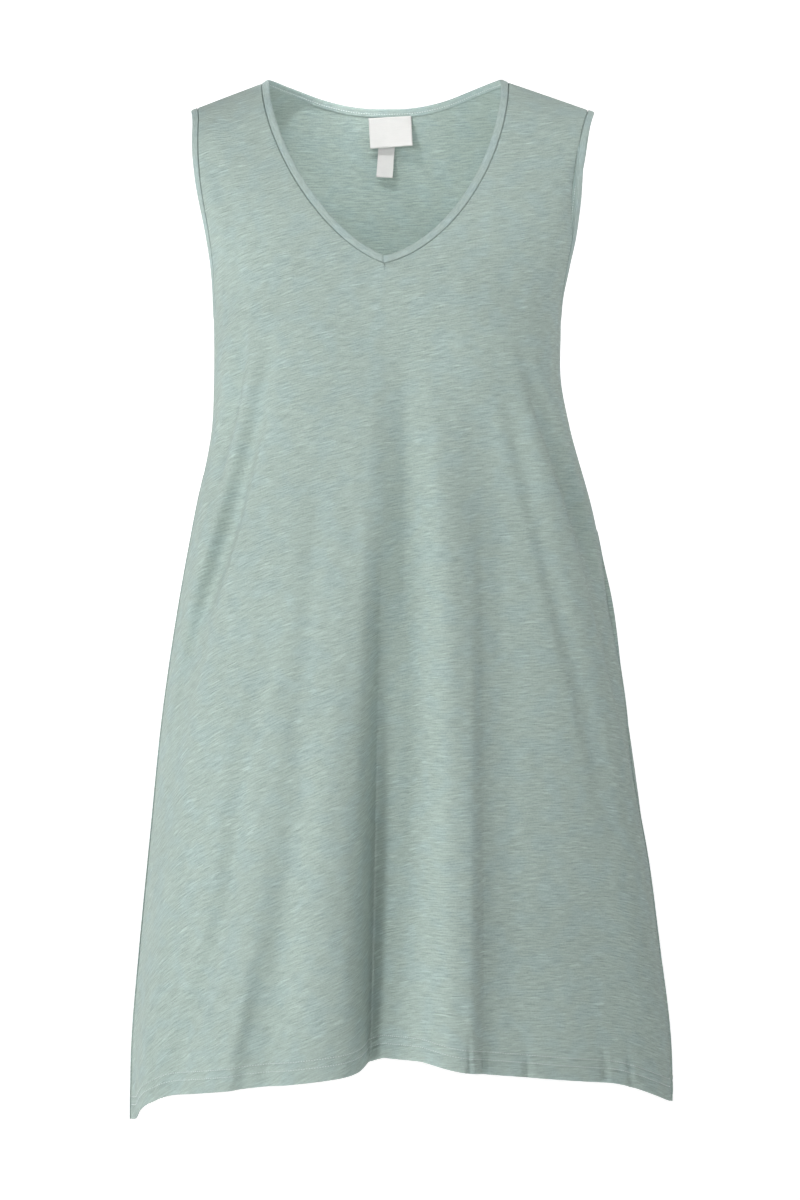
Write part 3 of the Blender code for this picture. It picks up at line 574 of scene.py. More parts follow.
def back_neck_line():
    """x and z of the back neckline, from the right shoulder seam to the left."""
    right, left = np.array(SHOULDER_NECK["right"]), np.array(SHOULDER_NECK["left"])
    x = np.linspace(right[0], left[0], DENSE)
    rise = np.where(x > 0, right[1] + BACK_NECK_DROP, left[1] + BACK_NECK_DROP)
    z = -BACK_NECK_DROP + rise * ease((x / np.where(x > 0, right[0], left[0])) ** BACK_NECK_FLAT)
    line = np.stack([x, z], axis=-1)
    return at_lengths(line, np.linspace(0.0, lengths_along(line)[-1], BACK_NECK_CELLS + 1))


def yoke_row(start, end, face, cells):
    """A row of the yoke: straight between two points of x and z, divided along the cloth."""
    share = np.linspace(0.0, 1.0, DENSE)[:, None]
    flat = np.asarray(start) * (1 - share) + np.asarray(end) * share
    dense = yoke_point(flat[:, 0], flat[:, 1], face)
    return at_lengths(dense, edged_steps(lengths_along(dense)[-1], cells))


def body_turns(start, end, z, cells):
    """Turns that divide the section at height z along the cloth, closer together round some folds."""
    turns = np.linspace(start, end, DENSE)
    total = lengths_along(ring_point(turns, np.full(DENSE, z)))
    weight = 1 + sum(more * np.exp(-(((turns - middle) / wide) ** 2)) for middle, more, wide in CLOSER)
    weight = 1 + (weight - 1) * ease((UNDERARM - z) / CLOSER_FROM)
    return np.interp(edged_steps(total[-1], cells, (total, weight)), total, turns)


def front_hem(out, side):
    """Height of the front hem at a share of the way out to the side seam."""
    cut = FRONT_HEM[side]
    steep = ease(share_of_way(out, cut["steep_from"], cut["steep_to"]))
    falling = np.clip(share_of_way(out, cut["level_to"], 1.0), 0.0, 1.0)
    stepped = ease(share_of_way(out, cut["level_to"], cut["step_to"]))
    even = HEM_CENTRE["front"] - cut["step"] * stepped - (cut["fall"] - cut["step"]) * falling
    return even + (HEM_TIP[side] - HEM_CENTRE["front"] + cut["fall"]) * steep


def hem_heights(face, out):
    """Height of the hem at shares from -1 to 1: left to right in front and right to left behind."""
    if face == "front":
        return np.where(out < 0, front_hem(-out, "left"), front_hem(out, "right"))
    tip = np.where(out > 0, HEM_TIP["left"], HEM_TIP["right"])
    return HEM_CENTRE["back"] + (tip - HEM_CENTRE["back"]) * out**2


def body_levels(face, out):
    """Height of each body row at each column: level down to the underarm, then easing into the hem."""
    drop = ARMHOLE_MIDDLE - UNDERARM
    lowest = math.acos((ARMHOLE_MIDDLE - V_POINT[1]) / drop)
    turned = np.linspace(lowest, 0.0, UNDERARM_ROWS + 1)
    level = [np.full(len(out), ARMHOLE_MIDDLE - drop * math.cos(t)) for t in turned]
    hem = hem_heights(face, out)
    last = hem + HEM_ROWS[0]
    for row in range(1, SKIRT_ROWS + 1):
        level.append(UNDERARM + (last - UNDERARM) * row / SKIRT_ROWS)
    level += [hem + above for above in HEM_ROWS[1:]]
    return np.array(level)


def shares_out(row, middle=None):
    """How far out each point of a row lies: -1 at its start, 0 at its middle point and 1 at its end."""
    total = lengths_along(row)
    half = total[-1] / 2 if middle is None else total[middle]
    return np.where(total < half, total / half - 1, (total - half) / (total[-1] - half))


def centre_turn(z):
    """The turn of the front's middle column, which hangs straight down from the point of the V."""
    share = abs(V_POINT[0]) / section("left", z)
    return -math.degrees(math.asin(share ** (section("square", z) / 2)))


def front_turns(z):
    """Turns of the front's columns at one height, from the left edge to the right."""
    centre = centre_turn(z)
    left = body_turns(edge_turn(z, "left", "front"), centre, z, HALF_FRONT_CELLS)
    right = body_turns(centre, edge_turn(z, "right", "front"), z, HALF_FRONT_CELLS)
    return np.concatenate([left, right[1:]])


def back_turns(z):
    """Turns of the back's columns at one height, from the right edge round to the left."""
    cells = 2 * BACK_SHOULDER_CELLS + BACK_NECK_CELLS
    return body_turns(edge_turn(z, "right", "back"), 360 + edge_turn(z, "left", "back"), z, cells)


def body_grid(face):
    """Points of a panel from the level of the V down to the hem."""
    in_front = face == "front"
    turns_at = front_turns if in_front else back_turns
    turns = turns_at(HEM_CENTRE[face])
    lowest = ring_point(turns, np.full(len(turns), HEM_CENTRE[face]))
    out = shares_out(lowest, HALF_FRONT_CELLS if in_front else None)
    first, last = SIDES if in_front else SIDES[::-1]
    grid = []
    for level in body_levels(face, out):
        turns = turns_at(level.mean())
        turns[0] = edge_turn(level[0], first, face)
        turns[-1] = edge_turn(level[-1], last, face) + (0 if in_front else 360)
        grid.append(ring_point(turns, level))
    return np.array(grid)


def front_grids():
    """Points of the left yoke, the right yoke and the body of the front, rows from the top down."""
    cells = HALF_FRONT_CELLS
    neck = {side: v_neck_line(side) for side in SIDES}
    armhole = {side: armhole_line(side, "front") for side in SIDES}
    left = [yoke_row(a, n, "front", cells) for a, n in zip(armhole["left"], neck["left"])]
    right = [yoke_row(n, a, "front", cells) for a, n in zip(armhole["right"], neck["right"])]
    body = body_grid("front")
    left[-1], right[-1] = body[0][: cells + 1], body[0][cells:]
    return np.array(left), np.array(right), body


def back_grids():
    """Points of the yoke and the body of the back, columns from the right edge round to the left."""
    body = body_grid("back")
    neck = back_neck_line()
    foot = body[0][BACK_SHOULDER_CELLS : BACK_SHOULDER_CELLS + BACK_NECK_CELLS + 1][:, [0, 2]]
    armhole = {side: armhole_line(side, "back") for side in SIDES}
    yoke = []
    for row, down in enumerate(rows_from_shoulder(-V_POINT[1]) / -V_POINT[1]):
        middle = neck + (foot - neck) * down
        yoke.append(np.concatenate([
            yoke_row(armhole["right"][row], middle[0], "back", BACK_SHOULDER_CELLS),
            yoke_point(middle[:, 0], middle[:, 1], "back")[1:-1],
            yoke_row(middle[-1], armhole["left"][row], "back", BACK_SHOULDER_CELLS),
        ]))
    yoke[-1] = body[0]
    return np.array(yoke), body


# ==== creases and edges
def crease_depth(points, creases):
    """Inward depth of some creases at each point of a panel."""
    total = np.zeros(len(points))
    x, z = points[:, 0], points[:, 2]
    for (before, after), path in creases:
        path_x, path_z, path_depth = np.array(path).T
        middle = smooth_curve(path_z, path_x, z)
        slant = (smooth_curve(path_z, path_x, z + SLANT_STEP) - middle) / SLANT_STEP
        away = (x - middle) / np.hypot(1.0, slant)
        within = (z < path_z[0]) & (z > path_z[-1])
        total += np.where(within, smooth_curve(path_z, path_depth, z), 0.0) * bell(away, before, after)
    return total


def grid_quads(number):
    """Faces between the numbered points of a grid."""
    corners = [number[:-1, :-1], number[:-1, 1:], number[1:, 1:], number[1:, :-1]]
    return np.stack(corners, axis=-1).reshape(-1, 4)


class Cloth:
    """A sheet of quads that becomes a thin closed shell, with its own place on the cloth at each point."""

    def __init__(self):
        self.points = np.zeros((0, 3))
        self.place = np.zeros((0, 2))       # where the point lay on the flat cloth, in metres
        self.inset = np.zeros(0)            # how far the outer face is drawn in
        self.wall = np.zeros(0)
        self.square_cut = []                # points on a seam, where the wall is cut square to y
        self.quads = np.zeros((0, 4), int)

    def add_grid(self, grid, place, joined=None):
        """Adds a grid and returns its points' numbers. joined numbers its last row, if that exists."""
        rows, across = grid.shape[:2]
        made = rows - (joined is not None)
        first = len(self.points)
        number = np.arange(first, first + made * across).reshape(made, across)
        if joined is not None:
            number = np.concatenate([number, joined[None]])
        count = made * across
        self.points = np.concatenate([self.points, grid[:made].reshape(-1, 3)])
        self.place = np.concatenate([self.place, place[:made].reshape(-1, 2)])
        self.inset = np.concatenate([self.inset, np.zeros(count)])
        self.wall = np.concatenate([self.wall, np.full(count, CLOTH)])
        facing_out = grid_quads(number)[:, [0, 3, 2, 1]]
        self.quads = np.concatenate([self.quads, facing_out])
        return number

    def roll_edge(self, lines, edge):
        """Rolls an edge in. lines are its points, and then those beside it, further and further in."""
        for line, dip, wall in zip(lines, edge["dip"], edge["wall"]):
            self.inset[line] = np.maximum(self.inset[line], dip)
            self.wall[line] = np.minimum(self.wall[line], wall)

    def normals(self, points):
        corners = points[self.quads]
        face = np.cross(corners[:, 2] - corners[:, 0], corners[:, 3] - corners[:, 1])
        normal = np.zeros_like(points)
        for corner in range(4):
            np.add.at(normal, self.quads[:, corner], face)
        normal[self.square_cut, 1] = 0.0
        return normal / np.linalg.norm(normal, axis=1)[:, None]

    def settle(self, creases=()):
        """Works out the outer face, creased and with its edges rolled in."""
        depth_in = self.inset + crease_depth(self.points, creases)
        self.outer = self.points - self.normals(self.points) * depth_in[:, None]
        self.out = self.normals(self.outer)

    def shell(self, name):
        inner = self.outer - self.out * self.wall[:, None]
        count = len(self.points)
        quads = self.quads
        edges = np.concatenate([quads[:, [i, (i + 1) % 4]] for i in range(4)])
        codes = edges[:, 0] * count + edges[:, 1]
        free = edges[~np.isin(edges[:, 1] * count + edges[:, 0], codes)]
        rim = np.stack([free[:, 1], free[:, 0], free[:, 0] + count, free[:, 1] + count], axis=-1)
        faces = np.concatenate([quads, quads[:, ::-1] + count, rim])
        return make_piece(name, np.concatenate([self.outer, inner]), faces, np.tile(self.place, (2, 1)))


def make_piece(name, points, faces, place=None):
    """A smooth mesh object that rides on the garment. place gives each point's spot on the flat cloth."""
    mesh = bpy.data.meshes.new(name)
    mesh.from_pydata(points.tolist(), [], [tuple(int(p) for p in face) for face in faces])
    if place is not None:
        corner = np.zeros(len(mesh.loops), np.int32)
        mesh.loops.foreach_get("vertex_index", corner)
        mesh.uv_layers.new(name="cloth").data.foreach_set("uv", place[corner].astype(np.float32).ravel())
    mesh.shade_smooth()
    made = bpy.data.objects.new(name, mesh)
    bpy.context.scene.collection.objects.link(made)
    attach(made, "root")
    return made


def along_rows(grid):
    """Distance along each row of a grid from its first point."""
    step = np.linalg.norm(np.diff(grid, axis=1), axis=2)
    return np.concatenate([np.zeros((len(grid), 1)), np.cumsum(step, axis=1)], axis=1)


def down_columns(grid):
    """Distance down each column of a grid to its last row, without any sideways drift. Below zero."""
    step = np.linalg.norm(np.diff(grid, axis=0)[..., 1:], axis=2)
    down = np.concatenate([np.zeros((1, grid.shape[1])), np.cumsum(step, axis=0)])
    return down - down[-1]


def flat_place(grid, centre, down, offset=0.0):
    """Spots on the flat cloth for a grid: across from one of its columns, and down."""
    across = along_rows(grid)
    return np.stack([across - across[:, [centre]] + offset, down + 0 * across], axis=-1)


def body_place(body, centre):
    """Spots on the flat cloth for a body, counted from the column that hangs from the V."""
    return flat_place(body, centre, V_POINT[1] - body[:, :, 2].mean(axis=1)[:, None])


# ==== panels
# Columns of the back's grid along each shoulder seam.
BACK_SHOULDERS = {
    "right": slice(0, BACK_SHOULDER_CELLS + 1),
    "left": slice(-BACK_SHOULDER_CELLS - 1, None),
}


def columns(number, side):
    """Numbers of the points in the columns in from a grid's left edge, side 0, or its right, side -1."""
    inward = 1 if side == 0 else -1
    return [number[:, side + inward * step] for step in range(len(EDGE_STEPS))]


def roping(across, above):
    """Height of the ripples at a hem."""
    wander = sum(amount * np.sin(across / length) for amount, length in ROPING["wander"])
    phase = 2 * math.pi * (across / ROPING["pitch"] + above / ROPING["slant"]) + wander
    reach = ROPING["reach"]
    return ROPING["height"] * np.sin(phase) * bell(above - ROPING["middle"], reach, reach)


def finish_hem(cloth, body):
    """Gives the hem its second layer, its rounded edge and the two sunken rows of stitches."""
    first = len(body) - len(HEM_ROWS)
    for row, above in enumerate(HEM_ROWS):
        line = body[first + row]
        cloth.wall[line] = HEM_CLOTH if above <= HEM_TURN else CLOTH
        cloth.inset[line] += roping(cloth.place[line, 0], above)
        for height in STITCH_ROWS:
            cloth.inset[line] += STITCH_SINK * bell(above - height, STITCH_FLANK, STITCH_FLANK)
    for row, (dip, wall) in enumerate(zip(HEM_EDGE["dip"], HEM_EDGE["wall"])):
        line = body[-1 - row]
        cloth.inset[line] += dip
        cloth.wall[line] = wall


def roll_side(cloth, yoke, body, side):
    """Rolls in a panel's armhole and its seam below, at side 0, the left of its grids, or -1, the right."""
    cloth.roll_edge(columns(yoke, side), BOUND_EDGE)
    cloth.roll_edge(columns(body[: UNDERARM_ROWS + 1], side), BOUND_EDGE)
    cloth.roll_edge(columns(body[UNDERARM_ROWS:], side), SEAM_EDGE)


def front_cloth():
    """The front, with the numbers of its points in its left yoke, its right yoke and its body."""
    left, right, body = front_grids()
    cells = HALF_FRONT_CELLS
    left_place = flat_place(left, -1, down_columns(left), left[:, -1:, 0] - V_POINT[0])
    right_place = flat_place(right, 0, down_columns(right), right[:, :1, 0] - V_POINT[0])
    cloth = Cloth()
    main = cloth.add_grid(body, body_place(body, cells))
    left = cloth.add_grid(left, left_place, main[0, : cells + 1])
    right = cloth.add_grid(right, right_place, main[0, cells:])
    sewn = main[UNDERARM_ROWS:]
    cloth.square_cut = np.concatenate([left[0], right[0], sewn[:, 0], sewn[:, -1]])
    finish_hem(cloth, main)
    for yoke, armhole, neck in ((left, 0, -1), (right, -1, 0)):
        cloth.roll_edge(yoke[: len(EDGE_STEPS)], SEAM_EDGE)
        cloth.roll_edge(columns(yoke, neck), BOUND_EDGE)
        roll_side(cloth, yoke, main, armhole)
    cloth.settle(FRONT_CREASES)
    return cloth, left, right, main


def back_cloth():
    """The back, with the numbers of its points in its yoke and its body."""
    yoke, body = back_grids()
    centre = BACK_SHOULDER_CELLS + BACK_NECK_CELLS // 2
    cloth = Cloth()
    main = cloth.add_grid(body, body_place(body, centre))
    top = cloth.add_grid(yoke, flat_place(yoke, centre, down_columns(yoke)), main[0])
    sewn = main[UNDERARM_ROWS:]
    shoulders = [top[0][cells] for cells in BACK_SHOULDERS.values()]
    cloth.square_cut = np.concatenate([*shoulders, sewn[:, 0], sewn[:, -1]])
    finish_hem(cloth, main)
    rows = top[: len(EDGE_STEPS)]
    for cells in BACK_SHOULDERS.values():
        cloth.roll_edge(rows[:, cells], SEAM_EDGE)
    cloth.roll_edge(rows[:, BACK_SHOULDER_CELLS:-BACK_SHOULDER_CELLS], BOUND_EDGE)
    for armhole in (0, -1):
        roll_side(cloth, top, main, armhole)
    cloth.settle()
    return cloth, top, main


# ==== strips along an edge
def unit(vectors):
    return vectors / np.linalg.norm(vectors, axis=-1, keepdims=True)


class Edge:
    """A panel's edge, with directions along it, across it away from the panel, and out of the cloth.

    The points run so that the panel's outside is up: clockwise round the opening, seen from outside.
    """

    def __init__(self, points, inside, closed=False):
        if closed:
            along = np.roll(points, -1, axis=0) - np.roll(points, 1, axis=0)
        else:
            along = np.gradient(points, axis=0)
        across = points - inside
        self.points = points
        self.closed = closed
        self.along = unit(along)
        self.across = unit(across - self.along * np.sum(across * self.along, axis=1)[:, None])
        self.up = np.cross(self.along, self.across)

    def beside(self, reach, height):
        """A line beside the edge."""
        return self.points + self.across * reach + self.up * height

    def sweep(self, name, section):
        """A closed solid with the same section, rows of reach and height, all along the edge."""
        rings = np.stack([self.beside(reach, height) for reach, height in section], axis=1)
        count, corners = rings.shape[:2]
        girth = lengths_along(np.array(section))
        place = np.stack(np.broadcast_arrays(lengths_along(self.points)[:, None], girth), axis=-1)
        number = np.arange(count * corners).reshape(count, corners)
        if self.closed:
            number = np.concatenate([number, number[:1]])
        number = np.concatenate([number, number[:, :1]], axis=1)
        faces = grid_quads(number).tolist()
        if not self.closed:
            faces += [number[0, corners - 1 :: -1].tolist(), number[-1, :corners].tolist()]
        return make_piece(name, rings.reshape(-1, 3), faces, place.reshape(-1, 2))


def strip_section(width):
    return [(BINDING_GAP + share * width, height) for share, height in STRIP_SECTION]


def neck_edge(front, left, right, back, top):
    """From the V up the right, round the back neck and down the left to the V."""
    neck = slice(BACK_SHOULDER_CELLS, -BACK_SHOULDER_CELLS)
    beside = len(EDGE_STEPS)
    behind, under = back.points[top[0][neck][1:-1]], back.points[top[beside][neck][1:-1]]
    points = np.concatenate([front.points[right[::-1, 0]], behind, front.points[left[:, -1]]])
    inside = np.concatenate([front.points[right[::-1, beside]], under, front.points[left[:, -1 - beside]]])
    edge = Edge(points, inside)
    from_v = lengths_along(points)
    right_seam, left_seam = from_v[len(right) - 1], from_v[len(points) - len(left)]
    # Just behind the shoulders it stands up.
    length = NECK_STAND["length"]
    for side, past_seam in (("right", from_v - right_seam), ("left", left_seam - from_v)):
        edge.across[:, 2] += NECK_STAND[side] * bell(past_seam - NECK_STAND["behind"], length, length)
    edge.across = unit(edge.across)
    edge.up = np.cross(edge.along, edge.across)
    # The two ends meet in the plane of the V, and the right one lies over the left.
    for end in (0, -1):
        edge.across[end] -= edge.along[end] * edge.across[end][0] / edge.along[end][0]
    edge.points = points + edge.up * (NECK_LAP["lift"] * (1 - ease(from_v / NECK_LAP["length"])))[:, None]
    edge.points[0, 0] -= NECK_LAP["past"]
    edge.points[-1, 0] -= SEAM_GAP
    return edge


def armhole_edge(side, front, yoke_front, body_front, back, yoke_back, body_back):
    """Round the armhole from the underarm: up the front and down the back on the left, and the other
    way about on the right."""
    low, further = UNDERARM_ROWS + 1, len(EDGE_STEPS)
    outward = slice(None, None, 1 if side == "left" else -1)
    inward = slice(None, None, -1 if side == "left" else 1)

    def beside(yoke, body, way):
        """Rows of a panel from the shoulder to the underarm, and as many columns in from the armhole."""
        return np.concatenate([part[:, way][:, : further + 1] for part in (yoke[:-1], body[:low])])

    up_front = beside(yoke_front, body_front, outward)[::-1]
    down_back = beside(yoke_back, body_back, inward)[1:-1]
    points, inside = (
        np.concatenate([front.points[up_front[:, column]], back.points[down_back[:, column]]])
        for column in (0, further)
    )
    # At the underarm the cloth lies below the edge, not beside it.
    inside[0] = front.points[body_front[low, 0 if side == "left" else -1]]
    if side == "right":
        points, inside = points[::-1], inside[::-1]
    return Edge(points, inside, closed=True)


def side_seam_edge(side, back, body):
    """Down or up a side seam, on the back panel's edge."""
    numbers = body[UNDERARM_ROWS + 1 + ALLOWANCE_SHORT :]
    if side == "right":
        numbers = numbers[::-1, ::-1]
    return Edge(back.points[numbers[:, -1]], back.points[numbers[:, -1 - len(EDGE_STEPS)]])


def shoulder_edge(side, back, top):
    """Along a shoulder seam, on the back panel's edge, between the bindings."""
    numbers = top[:, BACK_SHOULDERS[side]][:, ALLOWANCE_SHORT:-ALLOWANCE_SHORT]
    return Edge(back.points[numbers[0]], back.points[numbers[len(EDGE_STEPS)]])


# ==== stitches
def stitch_form():
    """One stitch: points forward, sideways and up from its middle, their spots on the thread, and faces."""
    turns = np.linspace(0.0, 2 * math.pi, STITCH_SIDES, endpoint=False)
    share, thick, rise = np.array(STITCH_RINGS).T[:, :, None]
    forward = STITCH_LENGTH * share + 0 * turns
    radius = STITCH_THICK / 2 * thick
    points = np.stack([forward, radius * np.cos(turns), rise + radius * np.sin(turns)], axis=-1)
    spots = np.stack([forward, STITCH_THICK / 2 * turns + 0 * forward], axis=-1)
    number = np.arange(forward.size).reshape(forward.shape)
    sides = grid_quads(np.concatenate([number, number[:, :1]], axis=1))
    faces = sides.tolist() + [number[0, ::-1].tolist(), number[-1].tolist()]
    return points.reshape(-1, 3), spots.reshape(-1, 2), faces


def stitches(name, lines):
    """Small rounded stitches, joined in one piece. Each line is points and normals along a row."""
    form, spots, faces = stitch_form()
    points = []
    for line, normals in lines:
        total = lengths_along(line)
        middles = np.arange(STITCH_PITCH, total[-1] - STITCH_PITCH, STITCH_PITCH)
        before, after = (at_lengths(line, middles + side * STITCH_LENGTH / 2) for side in (-1, 1))
        step = unit(after - before)
        up = np.stack([np.interp(middles, total, axis) for axis in normals.T], axis=-1)
        up = unit(up - step * np.sum(up * step, axis=1)[:, None])
        directions = np.stack([step, np.cross(step, up), up], axis=1)
        points.append((at_lengths(line, middles)[:, None] + form @ directions).reshape(-1, 3))
    points = np.concatenate(points)
    made = len(points) // len(form)
    polygons = [
        [corner + stitch * len(form) for corner in face]
        for stitch in range(made)
        for face in faces
    ]
    return make_piece(name, points, polygons, np.tile(spots, (made, 1)))


def hem_lines(cloth, body):
    """Points and normals along the two rows of stitches at a hem, on the cloth's outer face."""
    lines = []
    for height in STITCH_ROWS:
        line = body[len(body) - len(HEM_ROWS) + HEM_ROWS.index(height)]
        lines.append((cloth.outer[line], cloth.out[line]))
    return lines


def inside_line(edge, width):
    """Points and normals along the stitches on the inside of a binding."""
    points = edge.beside(BINDING_GAP + SEWN_AT * width, SEWN_HEIGHT)
    if edge.closed:
        return np.concatenate([points, points[:1]]), -np.concatenate([edge.up, edge.up[:1]])
    return points[1:-1], -edge.up[1:-1]


# ==== labels
def hanging_label(name, label):
    """A thin woven rectangle that hangs in front of the back panel's inner face, turned a little."""
    width, length = label["size"]
    across = np.linspace(width / 2, -width / 2, LABEL_CELLS[0] + 1)
    down = np.linspace(0.0, length, LABEL_CELLS[1] + 1)
    along, fall = np.meshgrid(across, down)
    angle = math.radians(label["turn"])
    x = label["centre"] + along * math.cos(angle) - fall * math.sin(angle)
    z = -BACK_NECK_DROP - label["below"] - fall * math.cos(angle) - along * math.sin(angle)
    share = fall / length
    top, foot = label["clear"]
    stand = CLOTH + top + (foot - top) * share**LABEL_BEND + label["curl"] * share * along / width
    points = yoke_point(x, z, "back") - np.stack([0 * x, stand, 0 * x], axis=-1)
    cloth = Cloth()
    cloth.add_grid(points, np.stack([along, fall], axis=-1))
    cloth.wall[:] = LABEL_CLOTH
    cloth.settle()
    return cloth.shell(name)


# ==== materials
class Nodes:
    """Adds nodes to a tree and links them. Inputs are a dict by name or a list by place, of values or of
    other nodes' outputs."""

    def __init__(self, tree):
        self.tree = tree

    def fill(self, node, inputs):
        for key, value in inputs.items() if isinstance(inputs, dict) else enumerate(inputs):
            if isinstance(value, bpy.types.NodeSocket):
                self.tree.links.new(value, node.inputs[key])
            else:
                node.inputs[key].default_value = value

    def add(self, kind, inputs=(), **settings):
        made = self.tree.nodes.new(kind)
        for name, value in settings.items():
            setattr(made, name, value)
        self.fill(made, inputs)
        return made

    def math(self, operation, *values):
        return self.add("ShaderNodeMath", values, operation=operation).outputs[0]

    def plus(self, value, times, base):
        """base and so many times the value."""
        return self.math("MULTIPLY_ADD", value, times, base)

    def centred(self, noise):
        """A noise with its middle at 0 instead of 0.5."""
        return self.math("SUBTRACT", noise, 0.5)

    def wave(self, along, length):
        return self.math("SINE", self.math("MULTIPLY", along, 2 * math.pi / length))

    def cloth_place(self):
        """Where each point lay on the flat cloth, in metres."""
        return self.add("ShaderNodeUVMap", uv_map="cloth").outputs["UV"]

    def split(self, place):
        return self.add("ShaderNodeSeparateXYZ", (place,)).outputs[:2]

    def place(self, x, y):
        return self.add("ShaderNodeCombineXYZ", (x, y, 0.0)).outputs[0]

    def noise(self, place, detail, roughness=0.5):
        values = {"Vector": place, "Scale": 1.0, "Detail": detail, "Roughness": roughness}
        return self.add("ShaderNodeTexNoise", values, noise_dimensions="2D").outputs["Fac"]

    def rise(self, value, low, high):
        """0 below low and 1 above high, with level ends."""
        values = (value, low, high, 0.0, 1.0)
        return self.add("ShaderNodeMapRange", values, interpolation_type="SMOOTHSTEP").outputs["Result"]

    def scaled(self, colour, factor):
        values = {0: colour, "Scale": factor}
        return self.add("ShaderNodeVectorMath", values, operation="SCALE").outputs[0]

    def mixed(self, share, one, other, blend="MIX"):
        values = {0: share, 6: one, 7: other}
        return self.add("ShaderNodeMix", values, data_type="RGBA", blend_type=blend).outputs[2]

    def relief(self, height, distance):
        values = {"Strength": 1.0, "Distance": distance, "Height": height}
        return self.add("ShaderNodeBump", values).outputs["Normal"]


def new_group(name, inputs, outputs):
    """An empty shader node group. inputs gives each input's kind and default value by its name."""
    group = bpy.data.node_groups.new(name, "ShaderNodeTree")
    for title, (kind, value) in inputs.items():
        socket = group.interface.new_socket(title, in_out="INPUT", socket_type="NodeSocket" + kind)
        socket.default_value = value
    for title, kind in outputs.items():
        group.interface.new_socket(title, in_out="OUTPUT", socket_type="NodeSocket" + kind)
    nodes = Nodes(group)
    return group, nodes, nodes.add("NodeGroupInput").outputs


def slub_knit_group():
    """Slub jersey: thick and thin yarn makes long thin streaks across fine knitted loops."""
    group, nodes, given = new_group(
        "slub knit",
        {
            "Place": ("Vector", (0.0, 0.0, 0.0)),
            "Colour": ("Color", (0.3, 0.4, 0.4, 1.0)),
            "Streaks": ("Float", 1.0),
            "Streak Length": ("Float", 0.014),
            "Streak Spacing": ("Float", 0.0013),
            "Slant": ("Float", 0.22),
            "Slant Change": ("Float", -0.35),
        },
        {"Colour": "Color", "Roughness": "Float", "Height": "Float"},
    )
    u, v = nodes.split(given["Place"])
    slant = nodes.plus(u, given["Slant Change"], given["Slant"])
    row = nodes.plus(u, slant, v)
    wander = nodes.noise(nodes.scaled(given["Place"], WANDER["waves"]), detail=1.0)
    row = nodes.plus(wander, WANDER["reach"], row)
    along = nodes.math("DIVIDE", u, given["Streak Length"])
    across = nodes.math("DIVIDE", row, given["Streak Spacing"])
    streaks = nodes.noise(nodes.place(along, across), detail=3.0, roughness=STREAK_ROUGHNESS)
    (longer, wider), (off_along, off_across) = SLUBS["stretch"], SLUBS["offset"]
    slub_place = nodes.place(nodes.plus(along, longer, off_along), nodes.plus(across, wider, off_across))
    slubs = nodes.rise(nodes.noise(slub_place, detail=1.0), SLUBS["from"], SLUBS["to"])
    patches = nodes.noise(nodes.scaled(given["Place"], PATCH_WAVES), detail=2.0)

    # Loops: slanting legs side by side in columns. Their tone is painted shade, darker in the hollows
    # between the legs.
    leg = nodes.math("PINGPONG", nodes.math("DIVIDE", u, LOOP["width"]), 0.5)
    course = nodes.plus(leg, LOOP["slant"], nodes.math("DIVIDE", v, LOOP["height"]))
    loops = nodes.wave(course, 1.0)

    # Streaks are lighter where the yarn is thick, and the dye takes a little unevenly.
    grain = nodes.noise(nodes.scaled(given["Place"], GRAIN_WAVES), detail=1.0)
    tone = nodes.plus(nodes.centred(grain), KNIT_TONE["grain"], nodes.centred(streaks))
    tone = nodes.plus(slubs, KNIT_TONE["slubs"], nodes.math("MULTIPLY", tone, KNIT_TONE["streaks"]))
    tone = nodes.math("MULTIPLY", tone, given["Streaks"])
    tone = nodes.plus(nodes.centred(patches), KNIT_TONE["patches"], tone)
    # Painted shade of the loops: darker where they dip, lighter where they rise.
    tone = nodes.plus(loops, KNIT_TONE["loops"], tone)
    colour = nodes.scaled(given["Colour"], nodes.math("ADD", tone, 1.0))
    cooler = nodes.mixed(1.0, colour, COOLER, "MULTIPLY")
    tint = nodes.noise(nodes.scaled(given["Place"], TINT["waves"]), detail=1.0)
    colour = nodes.mixed(nodes.rise(tint, TINT["from"], TINT["to"]), colour, cooler)

    height = nodes.plus(slubs, KNIT_RISE["slubs"], nodes.math("MULTIPLY", streaks, KNIT_RISE["streaks"]))
    height = nodes.plus(loops, KNIT_RISE["loops"], height)
    roughness = nodes.plus(slubs, SLUB_SMOOTHING, JERSEY_ROUGHNESS)
    nodes.add("NodeGroupOutput", {"Colour": colour, "Roughness": roughness, "Height": height})
    return group


def new_material(name):
    material = bpy.data.materials.new(name)
    material.use_nodes = True
    nodes = Nodes(material.node_tree)
    return material, nodes, material.node_tree.nodes["Principled BSDF"]


def knitted(name, group, colour, relief, sheen, **values):
    """A material of slub jersey. values are the group's own, by the names of its sockets."""
    material, nodes, shader = new_material(name)
    given = {"Place": nodes.cloth_place(), "Colour": (*colour, 1.0)}
    for title, value in values.items():
        given[title.replace("_", " ")] = value
    knit = nodes.add("ShaderNodeGroup", given, node_tree=group).outputs
    nodes.fill(shader, {
        "Base Color": knit["Colour"],
        "Roughness": knit["Roughness"],
        "Normal": nodes.relief(knit["Height"], relief),
        "Specular IOR Level": 0.25,
        "Sheen Weight": sheen,
        "Sheen Roughness": 0.45,
    })
    return material


def sewing_thread():
    """Two-ply thread, a shade lighter than the cloth."""
    material, nodes, shader = new_material("thread")
    u, v = nodes.split(nodes.cloth_place())
    ply = nodes.wave(nodes.plus(v, THREAD_SLANT, u), THREAD_TURN)
    ply = nodes.plus(ply, 0.5, 0.5)     # from 0 to 1
    # The darker colour lies in the grooves between the plies, where the relief dips: painted shade.
    nodes.fill(shader, {
        "Base Color": nodes.mixed(ply, (*THREAD_SHADE, 1.0), (*THREAD, 1.0)),
        "Normal": nodes.relief(ply, THREAD_RELIEF),
        "Roughness": 0.6,
        "Sheen Weight": 0.2,
    })
    return material


